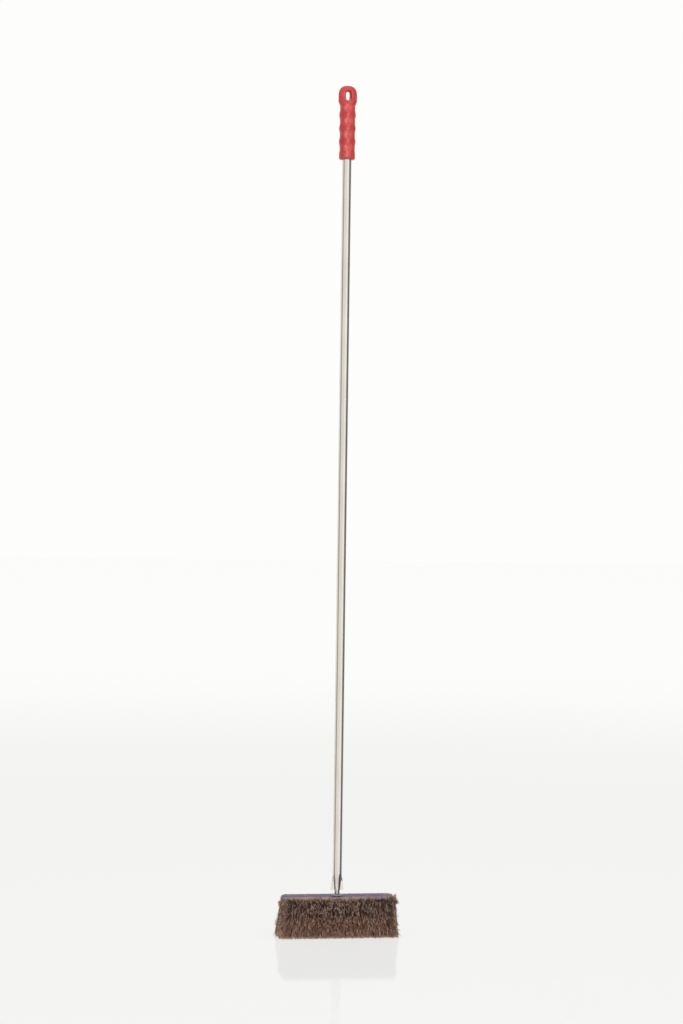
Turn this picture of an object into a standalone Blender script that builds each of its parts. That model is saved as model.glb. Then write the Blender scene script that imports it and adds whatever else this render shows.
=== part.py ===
"""Oven brush: a fibre brush head under a pressed steel cover plate, on a long stainless tube with a
moulded hanging grip.

Run it with blender --background --python part.py, or from Blender's text editor. Metres, +Z up. The
brush stands on its fibre tips at Z = 0 with its handle upright, the head's long side along X and its
front towards -Y. The handle's stud unscrews from the head, so the washer and the handle hang on
empties that lie on the handle's axis.
"""

import math

import bmesh
import bpy
from mathutils import Vector

MM = 0.001
GAP = 0.3 * MM  # what touching pieces keep between their faces
OVERRUN = 2.0 * MM  # how far a cutter runs past the face it opens

# Head
PLATE_TOP_Z = 88.8 * MM
PLATE_LENGTH = 240.0 * MM
PLATE_DEPTH = 54.0 * MM
PLATE_SKIRT = 6.2 * MM
PLATE_SHEET = 1.0 * MM
PLATE_CORNER = 13.0 * MM
PLATE_SHOULDER = 5.0 * MM
CORNER_STEPS = 6
SHOULDER_STEPS = 4

# Wooden tuft board, a slab in the tray over a core with a round underside
SLAB_DROP = 0.6 * MM  # how far the slab shows under the plate's skirt
FAN_ROUND_SHARE = 0.78  # of the board's half depth that is rounded over to a fan
BACKING = 5.0 * MM  # thickness of the slice that carries each row
ROWS_PER_SIDE = 4
ROW_GAP = 0.3 * MM
FAN_REACH = math.radians(85.0)  # how far the rows go round the long edges
END_STEP = math.radians(17.0)
ROW_END_STEPS = (4, 3, 3, 4)  # how far each row goes round the ends, from the middle row out

# Fibre tufts, drawn as strands that spread towards trimmed faces
TUFT_PITCH = 4.7 * MM
TUFT_ROOT_RADIUS = 1.2 * MM
TUFT_TIP_RADIUS = 2.3 * MM
TUFT_SIDES = 3
TUFT_SPREAD_LENGTH = 60.0 * MM  # over which a tuft grows from root to tip radius
TUFT_ROOT_DEPTH = 1.5 * MM
TUFT_LEAN = math.radians(8.0)  # outward lean at the ends of the straight stretch
TUFT_SIDE_LEAN = math.radians(5.0)
TUFT_WANDER = math.radians(0.5)
STAGGER_SHARE = 0.2  # of the row's width
END_FILL_SHARE = 0.94  # of the way round the end that tufts reach
TRIM_TOP_BEYOND_END = 5.5 * MM  # how far the trimmed fibre stands out past the plate
TRIM_FOOT_BEYOND_END = 10.0 * MM
TRIM_TOP_BEYOND_SIDE = 3.5 * MM
TRIM_FOOT_BEYOND_SIDE = 6.0 * MM
GOLDEN_ANGLE = math.pi * (3.0 - math.sqrt(5.0))

# Draw wires in grooves on the board's top
WIRE_RADIUS = 0.5 * MM
WIRE_LENGTH_SHARE = 0.96  # of the board's straight stretch
WIRE_BEND_SHARE = 0.8  # of the drop at a wire's turned-down end
WIRE_FLOOR = 1.2 * MM  # wood left under that end
WIRE_SIDES = 8
BEND_STEPS = 3
GROOVE_WIDTH = 1.7 * MM
GROOVE_DEPTH = 2.0 * MM

# Countersunk cover screws, on the plate's middle line
SCREW_PLACE_SHARES = (-0.867, -0.558, 0.558, 0.867)  # of the plate's half length
SCREW_HEAD_RADIUS = 3.5 * MM
SCREW_HEAD_RIM = 0.3 * MM
SCREW_SHANK_RADIUS = 1.75 * MM
SCREW_LENGTH = 16.0 * MM
SCREW_POINT = 3.0 * MM
SCREW_TIP_SHARE = 0.25  # of the shank's radius
SCREW_SIDES = 12

# Threaded insert, stud and seat washer
THREAD_RADIUS = 5.0 * MM
THREAD_ENGAGED = 15.0 * MM
INSERT_WALL = 2.2 * MM
INSERT_FLANGE_RADIUS = 9.5 * MM
INSERT_FLANGE = 1.6 * MM
WASHER_RADIUS = 13.5 * MM
WASHER_SHEET = 2.0 * MM
WASHER_CHAMFER = 0.4 * MM
NECK_RADIUS = 5.5 * MM
NECK_HEIGHT = 9.0 * MM
RELIEF_RADIUS = 4.3 * MM
RELIEF_HEIGHT = 2.0 * MM
STUD_CHAMFER = 1.0 * MM
STEM_RADIUS = 4.6 * MM
STEM_HEIGHT = 26.0 * MM

# Handle tube, with its lower end pressed round the stud's stem
TUBE_RADIUS = 10.0 * MM
TUBE_WALL = 1.0 * MM
PRESS_LENGTH = 33.0 * MM
PRESS_FLAT = 3.0 * MM
WING_HALF_WIDTH = 14.2 * MM
WING_HALF_THICKNESS = 1.15 * MM
WING_ROOT = 6.4 * MM  # half width of the raised middle where it runs out into the wings
WING_TURN = math.radians(37.5)  # share of each quarter turn of points that a wing gets
WING_BLEND = 1.2  # how sharply the raised middle meets the wings
PRESS_START_SHARE = 0.6  # of the pressed length, over which the round tube first flattens
PRESS_STEPS = 16
HANDLE_SIDES = 48
TUBE_SIDES = 36  # of the washer, insert, stud and bores

# Grip
GRIP_FOOT_Z = 1680.0 * MM
GRIP_LENGTH = 160.0 * MM
GRIP_RADIUS = 16.9 * MM
GRIP_BUMP = 1.1 * MM
BUMP_PITCH = 28.9 * MM
BUMP_COLUMNS = 4
COLLAR_RISE = 9.6 * MM  # from the grip's foot to its widest ring
COLLAR_RADIUS = 17.4 * MM
WAIST_RADIUS = 16.2 * MM
FOOT_ROUND = 3.6 * MM
EYE_LENGTH = 44.0 * MM  # this and the depths are from the grip's top
EYE_WIDEST_DEPTH = 22.5 * MM
SLOT_MIDDLE_DEPTH = 22.0 * MM
SOCKET_TOP_DEPTH = 50.0 * MM
EYE_HALF_WIDTH = 20.2 * MM
EYE_HALF_THICKNESS = 11.5 * MM
EYE_ROUNDNESS = 2.5
EYE_CROWN_SHARE = 0.2  # of the eye's width that stays flat on top
SLOT_WIDTH = 8.0 * MM
SLOT_HEIGHT = 18.0 * MM
SLOT_FLARE = 3.4 * MM  # how much wider the slot is at each face, all round
SLOT_LAND = 6.0 * MM  # its straight stretch, in the middle of the eye
SLOT_STEPS = 7  # odd, so that a flat face lies at the slot's top
GRIP_SIDES = 40
RINGS_PER_BUMP = 8
EYE_RINGS = 9

# Worked out from the above
PLATE_FOOT_Z = PLATE_TOP_Z - PLATE_SKIRT
BOARD_TOP_Z = PLATE_TOP_Z - PLATE_SHEET - GAP
SLAB_FOOT_Z = PLATE_FOOT_Z - SLAB_DROP
SLAB_INSET = PLATE_SHEET + GAP
SLAB_HALF_DEPTH = PLATE_DEPTH / 2 - SLAB_INSET
FAN_RADIUS = SLAB_HALF_DEPTH * FAN_ROUND_SHARE  # from the fan's middle line to the tufts' face
CORE_RADIUS = FAN_RADIUS - BACKING - GAP
FAN_HALF_LENGTH = PLATE_LENGTH / 2 - SLAB_INSET - FAN_RADIUS
FAN_HALF_FLAT = SLAB_HALF_DEPTH - FAN_RADIUS
OUTER_ROW_TILT = END_STEP * ROW_END_STEPS[-1]
OUTER_ROW_RISE = (FAN_RADIUS - BACKING) * math.cos(FAN_REACH) * math.cos(OUTER_ROW_TILT)
FAN_EDGE_Z = SLAB_FOOT_Z - GAP + OUTER_ROW_RISE
ROW_WIDTH = (FAN_HALF_FLAT + FAN_RADIUS * FAN_REACH) / ROWS_PER_SIDE
BORE_RADIUS = THREAD_RADIUS + GAP
INSERT_RADIUS = BORE_RADIUS + INSERT_WALL
WIRE_LENGTH = 2 * FAN_HALF_LENGTH * WIRE_LENGTH_SHARE
WIRE_FIRST_Y = INSERT_FLANGE_RADIUS + 2 * GAP + GROOVE_WIDTH / 2
WIRE_LAST_Y = PLATE_DEPTH / 2 - PLATE_SHOULDER - GROOVE_WIDTH
WIRE_PITCH = (WIRE_LAST_Y - WIRE_FIRST_Y) / (ROWS_PER_SIDE - 1)
WIRE_Z = BOARD_TOP_Z - GROOVE_DEPTH + GAP + WIRE_RADIUS
WIRE_END_Z = SLAB_FOOT_Z + WIRE_FLOOR
WIRE_BEND_RADIUS = (WIRE_Z - WIRE_END_Z) * WIRE_BEND_SHARE
SCREW_PLACES = [PLATE_LENGTH / 2 * share for share in SCREW_PLACE_SHARES]
STUD_FOOT_Z = BOARD_TOP_Z - THREAD_ENGAGED
WASHER_FOOT_Z = PLATE_TOP_Z + GAP
WASHER_TOP_Z = WASHER_FOOT_Z + WASHER_SHEET
NECK_FOOT_Z = WASHER_TOP_Z + GAP
NECK_TOP_Z = NECK_FOOT_Z + NECK_HEIGHT
TUBE_FOOT_Z = NECK_TOP_Z + GAP
TUBE_BORE_RADIUS = TUBE_RADIUS - TUBE_WALL
PRESSED_BORE_RADIUS = STEM_RADIUS + GAP
PRESSED_RADIUS = PRESSED_BORE_RADIUS + TUBE_WALL
STEM_TOP_Z = TUBE_FOOT_Z + STEM_HEIGHT
GRIP_TOP_Z = GRIP_FOOT_Z + GRIP_LENGTH
COLLAR_Z = GRIP_FOOT_Z + COLLAR_RISE
BODY_TOP_Z = GRIP_TOP_Z - EYE_LENGTH
EYE_Z = GRIP_TOP_Z - EYE_WIDEST_DEPTH
SLOT_Z = GRIP_TOP_Z - SLOT_MIDDLE_DEPTH
SOCKET_TOP_Z = GRIP_TOP_Z - SOCKET_TOP_DEPTH
TUBE_TOP_Z = SOCKET_TOP_Z - GAP
SOCKET_RADIUS = TUBE_RADIUS + GAP


def clear_scene():
    for obj in list(bpy.data.objects):
        bpy.data.objects.remove(obj, do_unlink=True)


def material(name, colour, roughness, metallic=0.0):
    """A plain Principled material."""
    made = bpy.data.materials.new(name)
    made.use_nodes = True
    shader = made.node_tree.nodes["Principled BSDF"]
    shader.inputs["Base Color"].default_value = (*colour, 1.0)
    shader.inputs["Roughness"].default_value = roughness
    shader.inputs["Metallic"].default_value = metallic
    return made


def solid(name, bm, finish, smooth_below=math.radians(35.0)):
    """An object from the bmesh, its faces turned out and smooth up to the given angle."""
    bmesh.ops.recalc_face_normals(bm, faces=bm.faces[:])
    mesh = bpy.data.meshes.new(name)
    bm.to_mesh(mesh)
    bm.free()
    mesh.shade_smooth()
    mesh.set_sharp_from_angle(angle=smooth_below)
    made = bpy.data.objects.new(name, mesh)
    made.data.materials.append(finish)
    bpy.context.scene.collection.objects.link(made)
    return made


def helper(made):
    """Marks an object as a cutter or an operand, which isn't a piece of the brush."""
    made.hide_render = True
    made.display_type = "WIRE"
    return made


def combine(target, operand, operation):
    step = target.modifiers.new(operation.title(), "BOOLEAN")
    step.operation = operation
    step.solver = "EXACT"
    step.object = helper(operand)


def bridged(rings, around=False):
    """A bmesh through rings of equally many points: closed round from last to first, or capped."""
    bm = bmesh.new()
    loops = [[bm.verts.new(point) for point in ring] for ring in rings]
    pairs = list(zip(loops, loops[1:]))
    if around:
        pairs.append((loops[-1], loops[0]))
    for lower, upper in pairs:
        for i in range(len(lower)):
            j = (i + 1) % len(lower)
            bm.faces.new((lower[i], lower[j], upper[j], upper[i]))
    if not around:
        bm.faces.new(reversed(loops[0]))
        bm.faces.new(loops[-1])
    return bm


def turned(profile, sides, around=False):
    """A bmesh turned about Z from (radius, height) points."""
    angles = [2 * math.pi * i / sides for i in range(sides)]
    rings = [[Vector((r * math.cos(a), r * math.sin(a), z)) for a in angles] for r, z in profile]
    return bridged(rings, around=around)


def smooth_step(share):
    share = min(max(share, 0.0), 1.0)
    return share * share * (3 - 2 * share)


def parent_to(child, holder):
    """Parents without moving the child."""
    child.parent = holder
    child.matrix_parent_inverse = holder.matrix_world.inverted()


# Pressed cover plate and wooden board


def rounded_outline(half_x, half_y, corner, z):
    """A rounded rectangle's points, counter-clockwise, CORNER_STEPS faces to a corner."""
    points = []
    for turn, (sign_x, sign_y) in enumerate(((1, 1), (-1, 1), (-1, -1), (1, -1))):
        centre = Vector((sign_x * (half_x - corner), sign_y * (half_y - corner), z))
        for step in range(CORNER_STEPS + 1):
            angle = math.pi / 2 * (turn + step / CORNER_STEPS)
            points.append(centre + corner * Vector((math.cos(angle), math.sin(angle), 0.0)))
    return points


def tray_skin(inset):
    """Rings of the tray's outer skin (inset 0) or its inner one, from the skirt's foot to the top."""
    half_x = PLATE_LENGTH / 2 - inset
    half_y = PLATE_DEPTH / 2 - inset
    shoulder = PLATE_SHOULDER - inset
    rings = [rounded_outline(half_x, half_y, PLATE_CORNER - inset, PLATE_FOOT_Z)]
    for step in range(SHOULDER_STEPS + 1):
        angle = math.pi / 2 * step / SHOULDER_STEPS
        drawn_in = shoulder * (1 - math.cos(angle))
        rise = shoulder * math.sin(angle)
        z = PLATE_TOP_Z - inset - shoulder + rise
        corner = PLATE_CORNER - inset - drawn_in
        rings.append(rounded_outline(half_x - drawn_in, half_y - drawn_in, corner, z))
    return rings


def make_cover_plate(finish):
    """A tray pressed from sheet, upside down on the board, with a hole for the stud."""
    rings = tray_skin(PLATE_SHEET)[::-1] + tray_skin(0.0)
    plate = solid("cover_plate", bridged(rings), finish)
    hole = [(BORE_RADIUS, BOARD_TOP_Z - OVERRUN), (BORE_RADIUS, PLATE_TOP_Z + OVERRUN)]
    combine(plate, solid("stud_hole_cutter", turned(hole, TUBE_SIDES), finish), "DIFFERENCE")
    for x in SCREW_PLACES:
        combine(plate, screw_cutter(x, finish), "DIFFERENCE")
    return plate


def fan_point(across, tilt, radius, sign_y=1):
    """A point of the board's round underside.

    across is the distance round the section at the tufts' face, tilt the angle round the end, and
    radius the distance from the flat core.
    """
    flat = min(across, FAN_HALF_FLAT)
    angle = (across - flat) / FAN_RADIUS
    out = Vector((math.sin(tilt), math.cos(tilt) * math.sin(angle), -math.cos(tilt) * math.cos(angle)))
    point = Vector((FAN_HALF_LENGTH, flat, FAN_EDGE_Z)) + radius * out
    point.y *= sign_y
    return point


def end_tilts(steps):
    return [END_STEP * step for step in range(steps + 1)]


def make_board_core():
    """The core above the rows' backing: the hull of its fan points and of a top inside the slab."""
    bm = bmesh.new()
    for sign_x in (-1, 1):
        for sign_y in (-1, 1):
            for row in range(ROWS_PER_SIDE + 1):
                for tilt in end_tilts(max(ROW_END_STEPS) + 1):
                    point = fan_point(row * ROW_WIDTH, tilt, CORE_RADIUS, sign_y)
                    point.x *= sign_x
                    bm.verts.new(point)
                    bm.verts.new((point.x, point.y, (SLAB_FOOT_Z + BOARD_TOP_Z) / 2))
    bmesh.ops.remove_doubles(bm, verts=bm.verts[:], dist=GAP / 10)
    bmesh.ops.convex_hull(bm, input=bm.verts[:])
    bmesh.ops.delete(bm, geom=[vert for vert in bm.verts if not vert.link_faces], context="VERTS")
    return bm


def groove_places():
    """Y of each row's draw wire, from the middle out, front and back."""
    return [
        (side, row, (1 if side == "back" else -1) * (WIRE_FIRST_Y + row * WIRE_PITCH))
        for side in ("front", "back")
        for row in range(ROWS_PER_SIDE)
    ]


def box(low, high):
    bm = bmesh.new()
    bmesh.ops.create_cube(bm, size=1.0)
    for vert in bm.verts:
        share = vert.co + Vector((0.5, 0.5, 0.5))
        vert.co = Vector([a + (b - a) * s for a, b, s in zip(low, high, share)])
    return bm


def groove_cutter(y, finish):
    """A groove for one wire, deeper at its ends, where the wire turns down."""
    half_length = WIRE_LENGTH / 2 + GROOVE_WIDTH
    half_width = GROOVE_WIDTH / 2
    top = BOARD_TOP_Z + OVERRUN
    cutter = solid(
        "groove_cutter",
        box((-half_length, y - half_width, BOARD_TOP_Z - GROOVE_DEPTH), (half_length, y + half_width, top)),
        finish,
    )
    well_length = WIRE_BEND_RADIUS + 2 * GROOVE_WIDTH
    well_foot = WIRE_END_Z - GAP
    for sign in (-1, 1):
        ends = sorted((sign * half_length, sign * (half_length - well_length)))
        well = box((ends[0], y - half_width, well_foot), (ends[1], y + half_width, top))
        combine(cutter, solid("well_cutter", well, finish), "UNION")
    return cutter


def screw_profile(spare):
    """(radius, height) points of a cover screw, grown by a clearance, from its tip to its head."""
    cone_foot = PLATE_TOP_Z - SCREW_HEAD_RIM - (SCREW_HEAD_RADIUS - SCREW_SHANK_RADIUS)
    tip_z = PLATE_TOP_Z - SCREW_LENGTH
    return [
        (SCREW_SHANK_RADIUS * SCREW_TIP_SHARE + spare, tip_z - spare),
        (SCREW_SHANK_RADIUS + spare, tip_z + SCREW_POINT),
        (SCREW_SHANK_RADIUS + spare, cone_foot),
        (SCREW_HEAD_RADIUS + spare, PLATE_TOP_Z - SCREW_HEAD_RIM),
    ]


def screw_cutter(x, finish):
    profile = screw_profile(GAP)
    profile.append((profile[-1][0], PLATE_TOP_Z + OVERRUN))
    cutter = solid("screw_cutter", turned(profile, SCREW_SIDES), finish)
    cutter.location.x = x
    return cutter


def make_tuft_board(finish):
    """The wooden block: slab and round core, with grooves, screw holes and the insert's pocket."""
    half_x = PLATE_LENGTH / 2 - SLAB_INSET
    half_y = SLAB_HALF_DEPTH
    corner = PLATE_CORNER - SLAB_INSET
    shoulder = PLATE_SHOULDER - PLATE_SHEET
    rings = [rounded_outline(half_x, half_y, corner, SLAB_FOOT_Z)]
    for step in range(SHOULDER_STEPS + 1):
        angle = math.pi / 2 * step / SHOULDER_STEPS
        drawn_in = shoulder * (1 - math.cos(angle))
        z = BOARD_TOP_Z - shoulder * (1 - math.sin(angle))
        rings.append(rounded_outline(half_x - drawn_in, half_y - drawn_in, corner - drawn_in, z))
    board = solid("tuft_board", bridged(rings), finish)
    combine(board, solid("board_core", make_board_core(), finish), "UNION")
    for _, _, y in groove_places():
        combine(board, groove_cutter(y, finish), "DIFFERENCE")
    for x in SCREW_PLACES:
        combine(board, screw_cutter(x, finish), "DIFFERENCE")
    pocket = [
        (INSERT_RADIUS + GAP, STUD_FOOT_Z - GAP),
        (INSERT_RADIUS + GAP, BOARD_TOP_Z - INSERT_FLANGE - GAP),
        (INSERT_FLANGE_RADIUS + GAP, BOARD_TOP_Z - INSERT_FLANGE - GAP),
        (INSERT_FLANGE_RADIUS + GAP, BOARD_TOP_Z + OVERRUN),
    ]
    combine(board, solid("insert_cutter", turned(pocket, TUBE_SIDES), finish), "DIFFERENCE")
    return board


def make_draw_wire(side, row, y, finish):
    """The wire that holds one row's tufts, its ends turned down into the board."""
    path = bpy.data.curves.new(f"draw_wire_{side}_{row + 1}", "CURVE")
    path.dimensions = "3D"
    path.bevel_depth = WIRE_RADIUS
    path.bevel_resolution = (WIRE_SIDES - 4) // 2
    path.use_fill_caps = True
    bend_x = WIRE_LENGTH / 2 - WIRE_BEND_RADIUS
    half = []
    for step in range(BEND_STEPS + 1):
        angle = math.pi / 2 * step / BEND_STEPS
        along = bend_x + WIRE_BEND_RADIUS * math.sin(angle)
        half.append((along, y, WIRE_Z - WIRE_BEND_RADIUS * (1 - math.cos(angle))))
    half.append((WIRE_LENGTH / 2, y, WIRE_END_Z))
    points = [(-x, place, height) for x, place, height in reversed(half)] + half
    line = path.splines.new("POLY")
    line.points.add(len(points) - 1)
    for place, point in zip(line.points, points):
        place.co = (*point, 1.0)
    wire = bpy.data.objects.new(path.name, path)
    path.materials.append(finish)
    bpy.context.scene.collection.objects.link(wire)
    return wire


def make_screw(number, x, finish):
    profile = screw_profile(0.0)
    profile.append((SCREW_HEAD_RADIUS, PLATE_TOP_Z))
    screw = solid(f"cover_screw_{number}", turned(profile, SCREW_SIDES), finish)
    screw.location.x = x
    return screw


# Fibre rows


def row_backing(row, sign_y):
    """The slice of the board that carries one row, bent up round both ends."""
    low = row * ROW_WIDTH + ROW_GAP / 2
    high = (row + 1) * ROW_WIDTH - ROW_GAP / 2
    tilts = end_tilts(ROW_END_STEPS[row])
    stations = [(-1, tilt) for tilt in reversed(tilts)] + [(1, tilt) for tilt in tilts]
    rings = []
    for sign_x, tilt in stations:
        inner, outer = FAN_RADIUS - BACKING, FAN_RADIUS
        corners = ((low, inner), (high, inner), (high, outer), (low, outer))
        ring = [fan_point(across, tilt, radius, sign_y) for across, radius in corners]
        for point in ring:
            point.x *= sign_x
        rings.append(ring)
    return bridged(rings)


def tuft_seats(row):
    """(x, tilt) of each tuft from the middle to one end, evenly spaced along the row."""
    end_length = FAN_RADIUS * END_STEP * ROW_END_STEPS[row] * END_FILL_SHARE
    count = int((FAN_HALF_LENGTH + end_length) / TUFT_PITCH)
    seats = []
    for number in range(count):
        along = (number + 0.5) * TUFT_PITCH
        x = min(along, FAN_HALF_LENGTH)
        seats.append((x, (along - x) / FAN_RADIUS))
    return seats


def fan_direction(across, x, tilt, number):
    """Which way a tuft leaves: spread a little further at every step outwards, so none cross."""
    flat = min(across, FAN_HALF_FLAT)
    quarter = math.pi / 2
    side = (across - flat) / FAN_RADIUS
    side_angle = TUFT_SIDE_LEAN * flat / FAN_HALF_FLAT + side * (1 - TUFT_SIDE_LEAN / quarter)
    end_angle = TUFT_LEAN * x / FAN_HALF_LENGTH + tilt * (1 - TUFT_LEAN / quarter)
    side_angle += TUFT_WANDER * math.sin(number * GOLDEN_ANGLE)
    end_angle += TUFT_WANDER * abs(math.cos(number * GOLDEN_ANGLE))
    level = math.cos(end_angle)
    return Vector((math.sin(end_angle), level * math.sin(side_angle), -level * math.cos(side_angle)))


def trim_planes():
    """(normal, distance) of the faces that the fibre is trimmed to, in the quarter at +X, +Y."""
    planes = [(Vector((0.0, 0.0, -1.0)), 0.0)]
    for half, top, foot, axis in (
        (PLATE_LENGTH / 2, TRIM_TOP_BEYOND_END, TRIM_FOOT_BEYOND_END, Vector((1.0, 0.0, 0.0))),
        (PLATE_DEPTH / 2, TRIM_TOP_BEYOND_SIDE, TRIM_FOOT_BEYOND_SIDE, Vector((0.0, 1.0, 0.0))),
    ):
        slope = (foot - top) / PLATE_TOP_Z
        planes.append((axis + Vector((0.0, 0.0, slope)), half + foot))
    return planes


def way_to_trim(start, direction):
    """How far along a direction the first of the trimmed faces lies."""
    ways = []
    for normal, distance in trim_planes():
        closing = normal.dot(direction)
        if closing > 0:
            ways.append((distance - normal.dot(start)) / closing)
    return min(ways)


def tuft_points(row, number, x, tilt):
    """A tuft's root and tip points in the quarter at +X, +Y, its tip cut along the trimmed faces."""
    local_width = ROW_WIDTH * (math.cos(tilt) if row else 1.0)
    stagger = STAGGER_SHARE * local_width * (1 if number % 2 else -1)
    across = (row + 0.5) * ROW_WIDTH + stagger
    seat = fan_point(across, tilt, FAN_RADIUS - TUFT_ROOT_DEPTH)
    seat.x += x - FAN_HALF_LENGTH
    number_of_all = number * ROWS_PER_SIDE + row
    direction = fan_direction(across, x, tilt, number_of_all)
    first = direction.orthogonal().normalized()
    second = direction.cross(first)
    growth = (TUFT_TIP_RADIUS - TUFT_ROOT_RADIUS) / TUFT_SPREAD_LENGTH
    root, tip = [], []
    for side in range(TUFT_SIDES):
        angle = number_of_all * GOLDEN_ANGLE + 2 * math.pi * side / TUFT_SIDES
        out = first * math.cos(angle) + second * math.sin(angle)
        start = seat + out * TUFT_ROOT_RADIUS
        edge = direction + out * growth
        root.append(start)
        tip.append(start + edge * way_to_trim(start, edge))
    return root, tip


def row_tufts(row, sign_y):
    """All tufts of one row in one mesh, still apart from each other."""
    bm = bmesh.new()
    for number, (x, tilt) in enumerate(tuft_seats(row)):
        root, tip = tuft_points(row, number, x, tilt)
        for sign_x in (-1, 1):
            lower = [bm.verts.new((p.x * sign_x, p.y * sign_y, p.z)) for p in root]
            upper = [bm.verts.new((p.x * sign_x, p.y * sign_y, p.z)) for p in tip]
            bm.faces.new(lower)
            bm.faces.new(upper)
            for i in range(TUFT_SIDES):
                j = (i + 1) % TUFT_SIDES
                bm.faces.new((lower[i], lower[j], upper[j], upper[i]))
    return bm


def make_bristle_row(side, row, finish):
    """One row: a slice of the board with its tufts fused to it."""
    sign_y = 1 if side == "back" else -1
    made = solid(f"bristle_row_{side}_{row + 1}", row_backing(row, sign_y), finish)
    combine(made, solid(f"tufts_{side}_{row + 1}", row_tufts(row, sign_y), finish), "UNION")
    return made


# Stud, washer and insert


def make_threaded_insert(finish):
    """A flanged bush in the board, its thread left plain."""
    flange_foot = BOARD_TOP_Z - INSERT_FLANGE
    profile = [
        (BORE_RADIUS, STUD_FOOT_Z),
        (INSERT_RADIUS, STUD_FOOT_Z),
        (INSERT_RADIUS, flange_foot),
        (INSERT_FLANGE_RADIUS, flange_foot),
        (INSERT_FLANGE_RADIUS, BOARD_TOP_Z),
        (BORE_RADIUS, BOARD_TOP_Z),
    ]
    return solid("threaded_insert", turned(profile, TUBE_SIDES, around=True), finish)


def make_seat_washer(finish):
    inner, outer = BORE_RADIUS, WASHER_RADIUS
    profile = [
        (inner, WASHER_FOOT_Z),
        (outer - WASHER_CHAMFER, WASHER_FOOT_Z),
        (outer, WASHER_FOOT_Z + WASHER_CHAMFER),
        (outer, WASHER_TOP_Z - WASHER_CHAMFER),
        (outer - WASHER_CHAMFER, WASHER_TOP_Z),
        (inner, WASHER_TOP_Z),
    ]
    return solid("seat_washer", turned(profile, TUBE_SIDES, around=True), finish)


def make_threaded_stud(finish):
    """Thread, relief, neck and the stem that the tube is pressed on."""
    profile = [
        (THREAD_RADIUS - STUD_CHAMFER, STUD_FOOT_Z),
        (THREAD_RADIUS, STUD_FOOT_Z + STUD_CHAMFER),
        (THREAD_RADIUS, NECK_FOOT_Z - RELIEF_HEIGHT - STUD_CHAMFER),
        (RELIEF_RADIUS, NECK_FOOT_Z - RELIEF_HEIGHT),
        (RELIEF_RADIUS, NECK_FOOT_Z),
        (NECK_RADIUS, NECK_FOOT_Z),
        (NECK_RADIUS, NECK_TOP_Z),
        (STEM_RADIUS, NECK_TOP_Z),
        (STEM_RADIUS, STEM_TOP_Z - STUD_CHAMFER),
        (STEM_RADIUS - STUD_CHAMFER, STEM_TOP_Z),
    ]
    return solid("threaded_stud", turned(profile, TUBE_SIDES), finish)


# Handle tube


def pressed_point(angle, pressed):
    """(x, y) on the foot's outside: a flat wing near the X axis, then round over the middle.

    The middle narrows from the full tube to the stem, and the wings open, as the pressed share rises.
    """
    turn = abs(math.remainder(angle, math.pi))
    root = TUBE_RADIUS + (WING_ROOT - TUBE_RADIUS) * pressed
    if turn < WING_TURN:
        tip = TUBE_RADIUS + (WING_HALF_WIDTH - TUBE_RADIUS) * pressed
        x = tip + (root - tip) * (turn / WING_TURN) ** 2
        y = WING_HALF_THICKNESS if turn > 0 else 0.0
    else:
        round_turn = math.pi / 2 * (turn - WING_TURN) / (math.pi / 2 - WING_TURN)
        x = root * math.cos(round_turn)
        rise = TUBE_RADIUS + (PRESSED_RADIUS - TUBE_RADIUS) * pressed - WING_HALF_THICKNESS
        y = WING_HALF_THICKNESS + rise * math.sin(round_turn) ** WING_BLEND
    return math.copysign(x, math.cos(angle)), math.copysign(y, math.sin(angle))


def tube_ring(z, pressed):
    """The tube's outside at a height: a circle that soon flattens into the pressed shape."""
    ring = []
    flat = smooth_step(pressed / PRESS_START_SHARE)
    for i in range(HANDLE_SIDES):
        angle = 2 * math.pi * i / HANDLE_SIDES
        round_x, round_y = TUBE_RADIUS * math.cos(angle), TUBE_RADIUS * math.sin(angle)
        wing_x, wing_y = pressed_point(angle, pressed)
        x = round_x + (wing_x - round_x) * flat
        y = round_y + (wing_y - round_y) * flat
        ring.append(Vector((x, y, z)))
    return ring


def bore_ring(z, pressed):
    radius = TUBE_BORE_RADIUS + (PRESSED_BORE_RADIUS - TUBE_BORE_RADIUS) * pressed
    angles = [2 * math.pi * i / HANDLE_SIDES for i in range(HANDLE_SIDES)]
    return [Vector((radius * math.cos(a), radius * math.sin(a), z)) for a in angles]


def make_handle_tube(finish):
    """The long tube, open at the top, its foot pressed round the stem into two flat wings."""
    stations = [(TUBE_FOOT_Z, 1.0), (TUBE_FOOT_Z + PRESS_FLAT, 1.0)]
    for step in range(1, PRESS_STEPS + 1):
        share = step / PRESS_STEPS
        stations.append((TUBE_FOOT_Z + PRESS_FLAT + PRESS_LENGTH * share, 1 - share))
    stations.append((TUBE_TOP_Z, 0.0))
    outer = [tube_ring(z, pressed) for z, pressed in stations]
    inner = [bore_ring(z, math.sqrt(pressed)) for z, pressed in stations]
    return solid("handle_tube", bridged(outer + inner[::-1], around=True), finish)


# Grip


def body_radius(angle, z):
    """The grip's radius below its eye: hand bumps in columns, every other column half a pitch on."""
    wave = math.cos(2 * math.pi * (z - COLLAR_Z) / BUMP_PITCH)
    fade = smooth_step((z - COLLAR_Z) / (BUMP_PITCH / 2))
    bumps = GRIP_RADIUS + GRIP_BUMP * wave * math.cos(BUMP_COLUMNS * angle)
    collar = (COLLAR_RADIUS + WAIST_RADIUS) / 2 + (COLLAR_RADIUS - WAIST_RADIUS) / 2 * wave
    return collar + (bumps - collar) * fade


def grip_ring(z, half_x, half_y, shape=None):
    ring = []
    for i in range(GRIP_SIDES):
        angle = 2 * math.pi * i / GRIP_SIDES
        bump = shape(angle, z) / GRIP_RADIUS if shape else 1.0
        ring.append(Vector((half_x * bump * math.cos(angle), half_y * bump * math.sin(angle), z)))
    return ring


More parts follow.
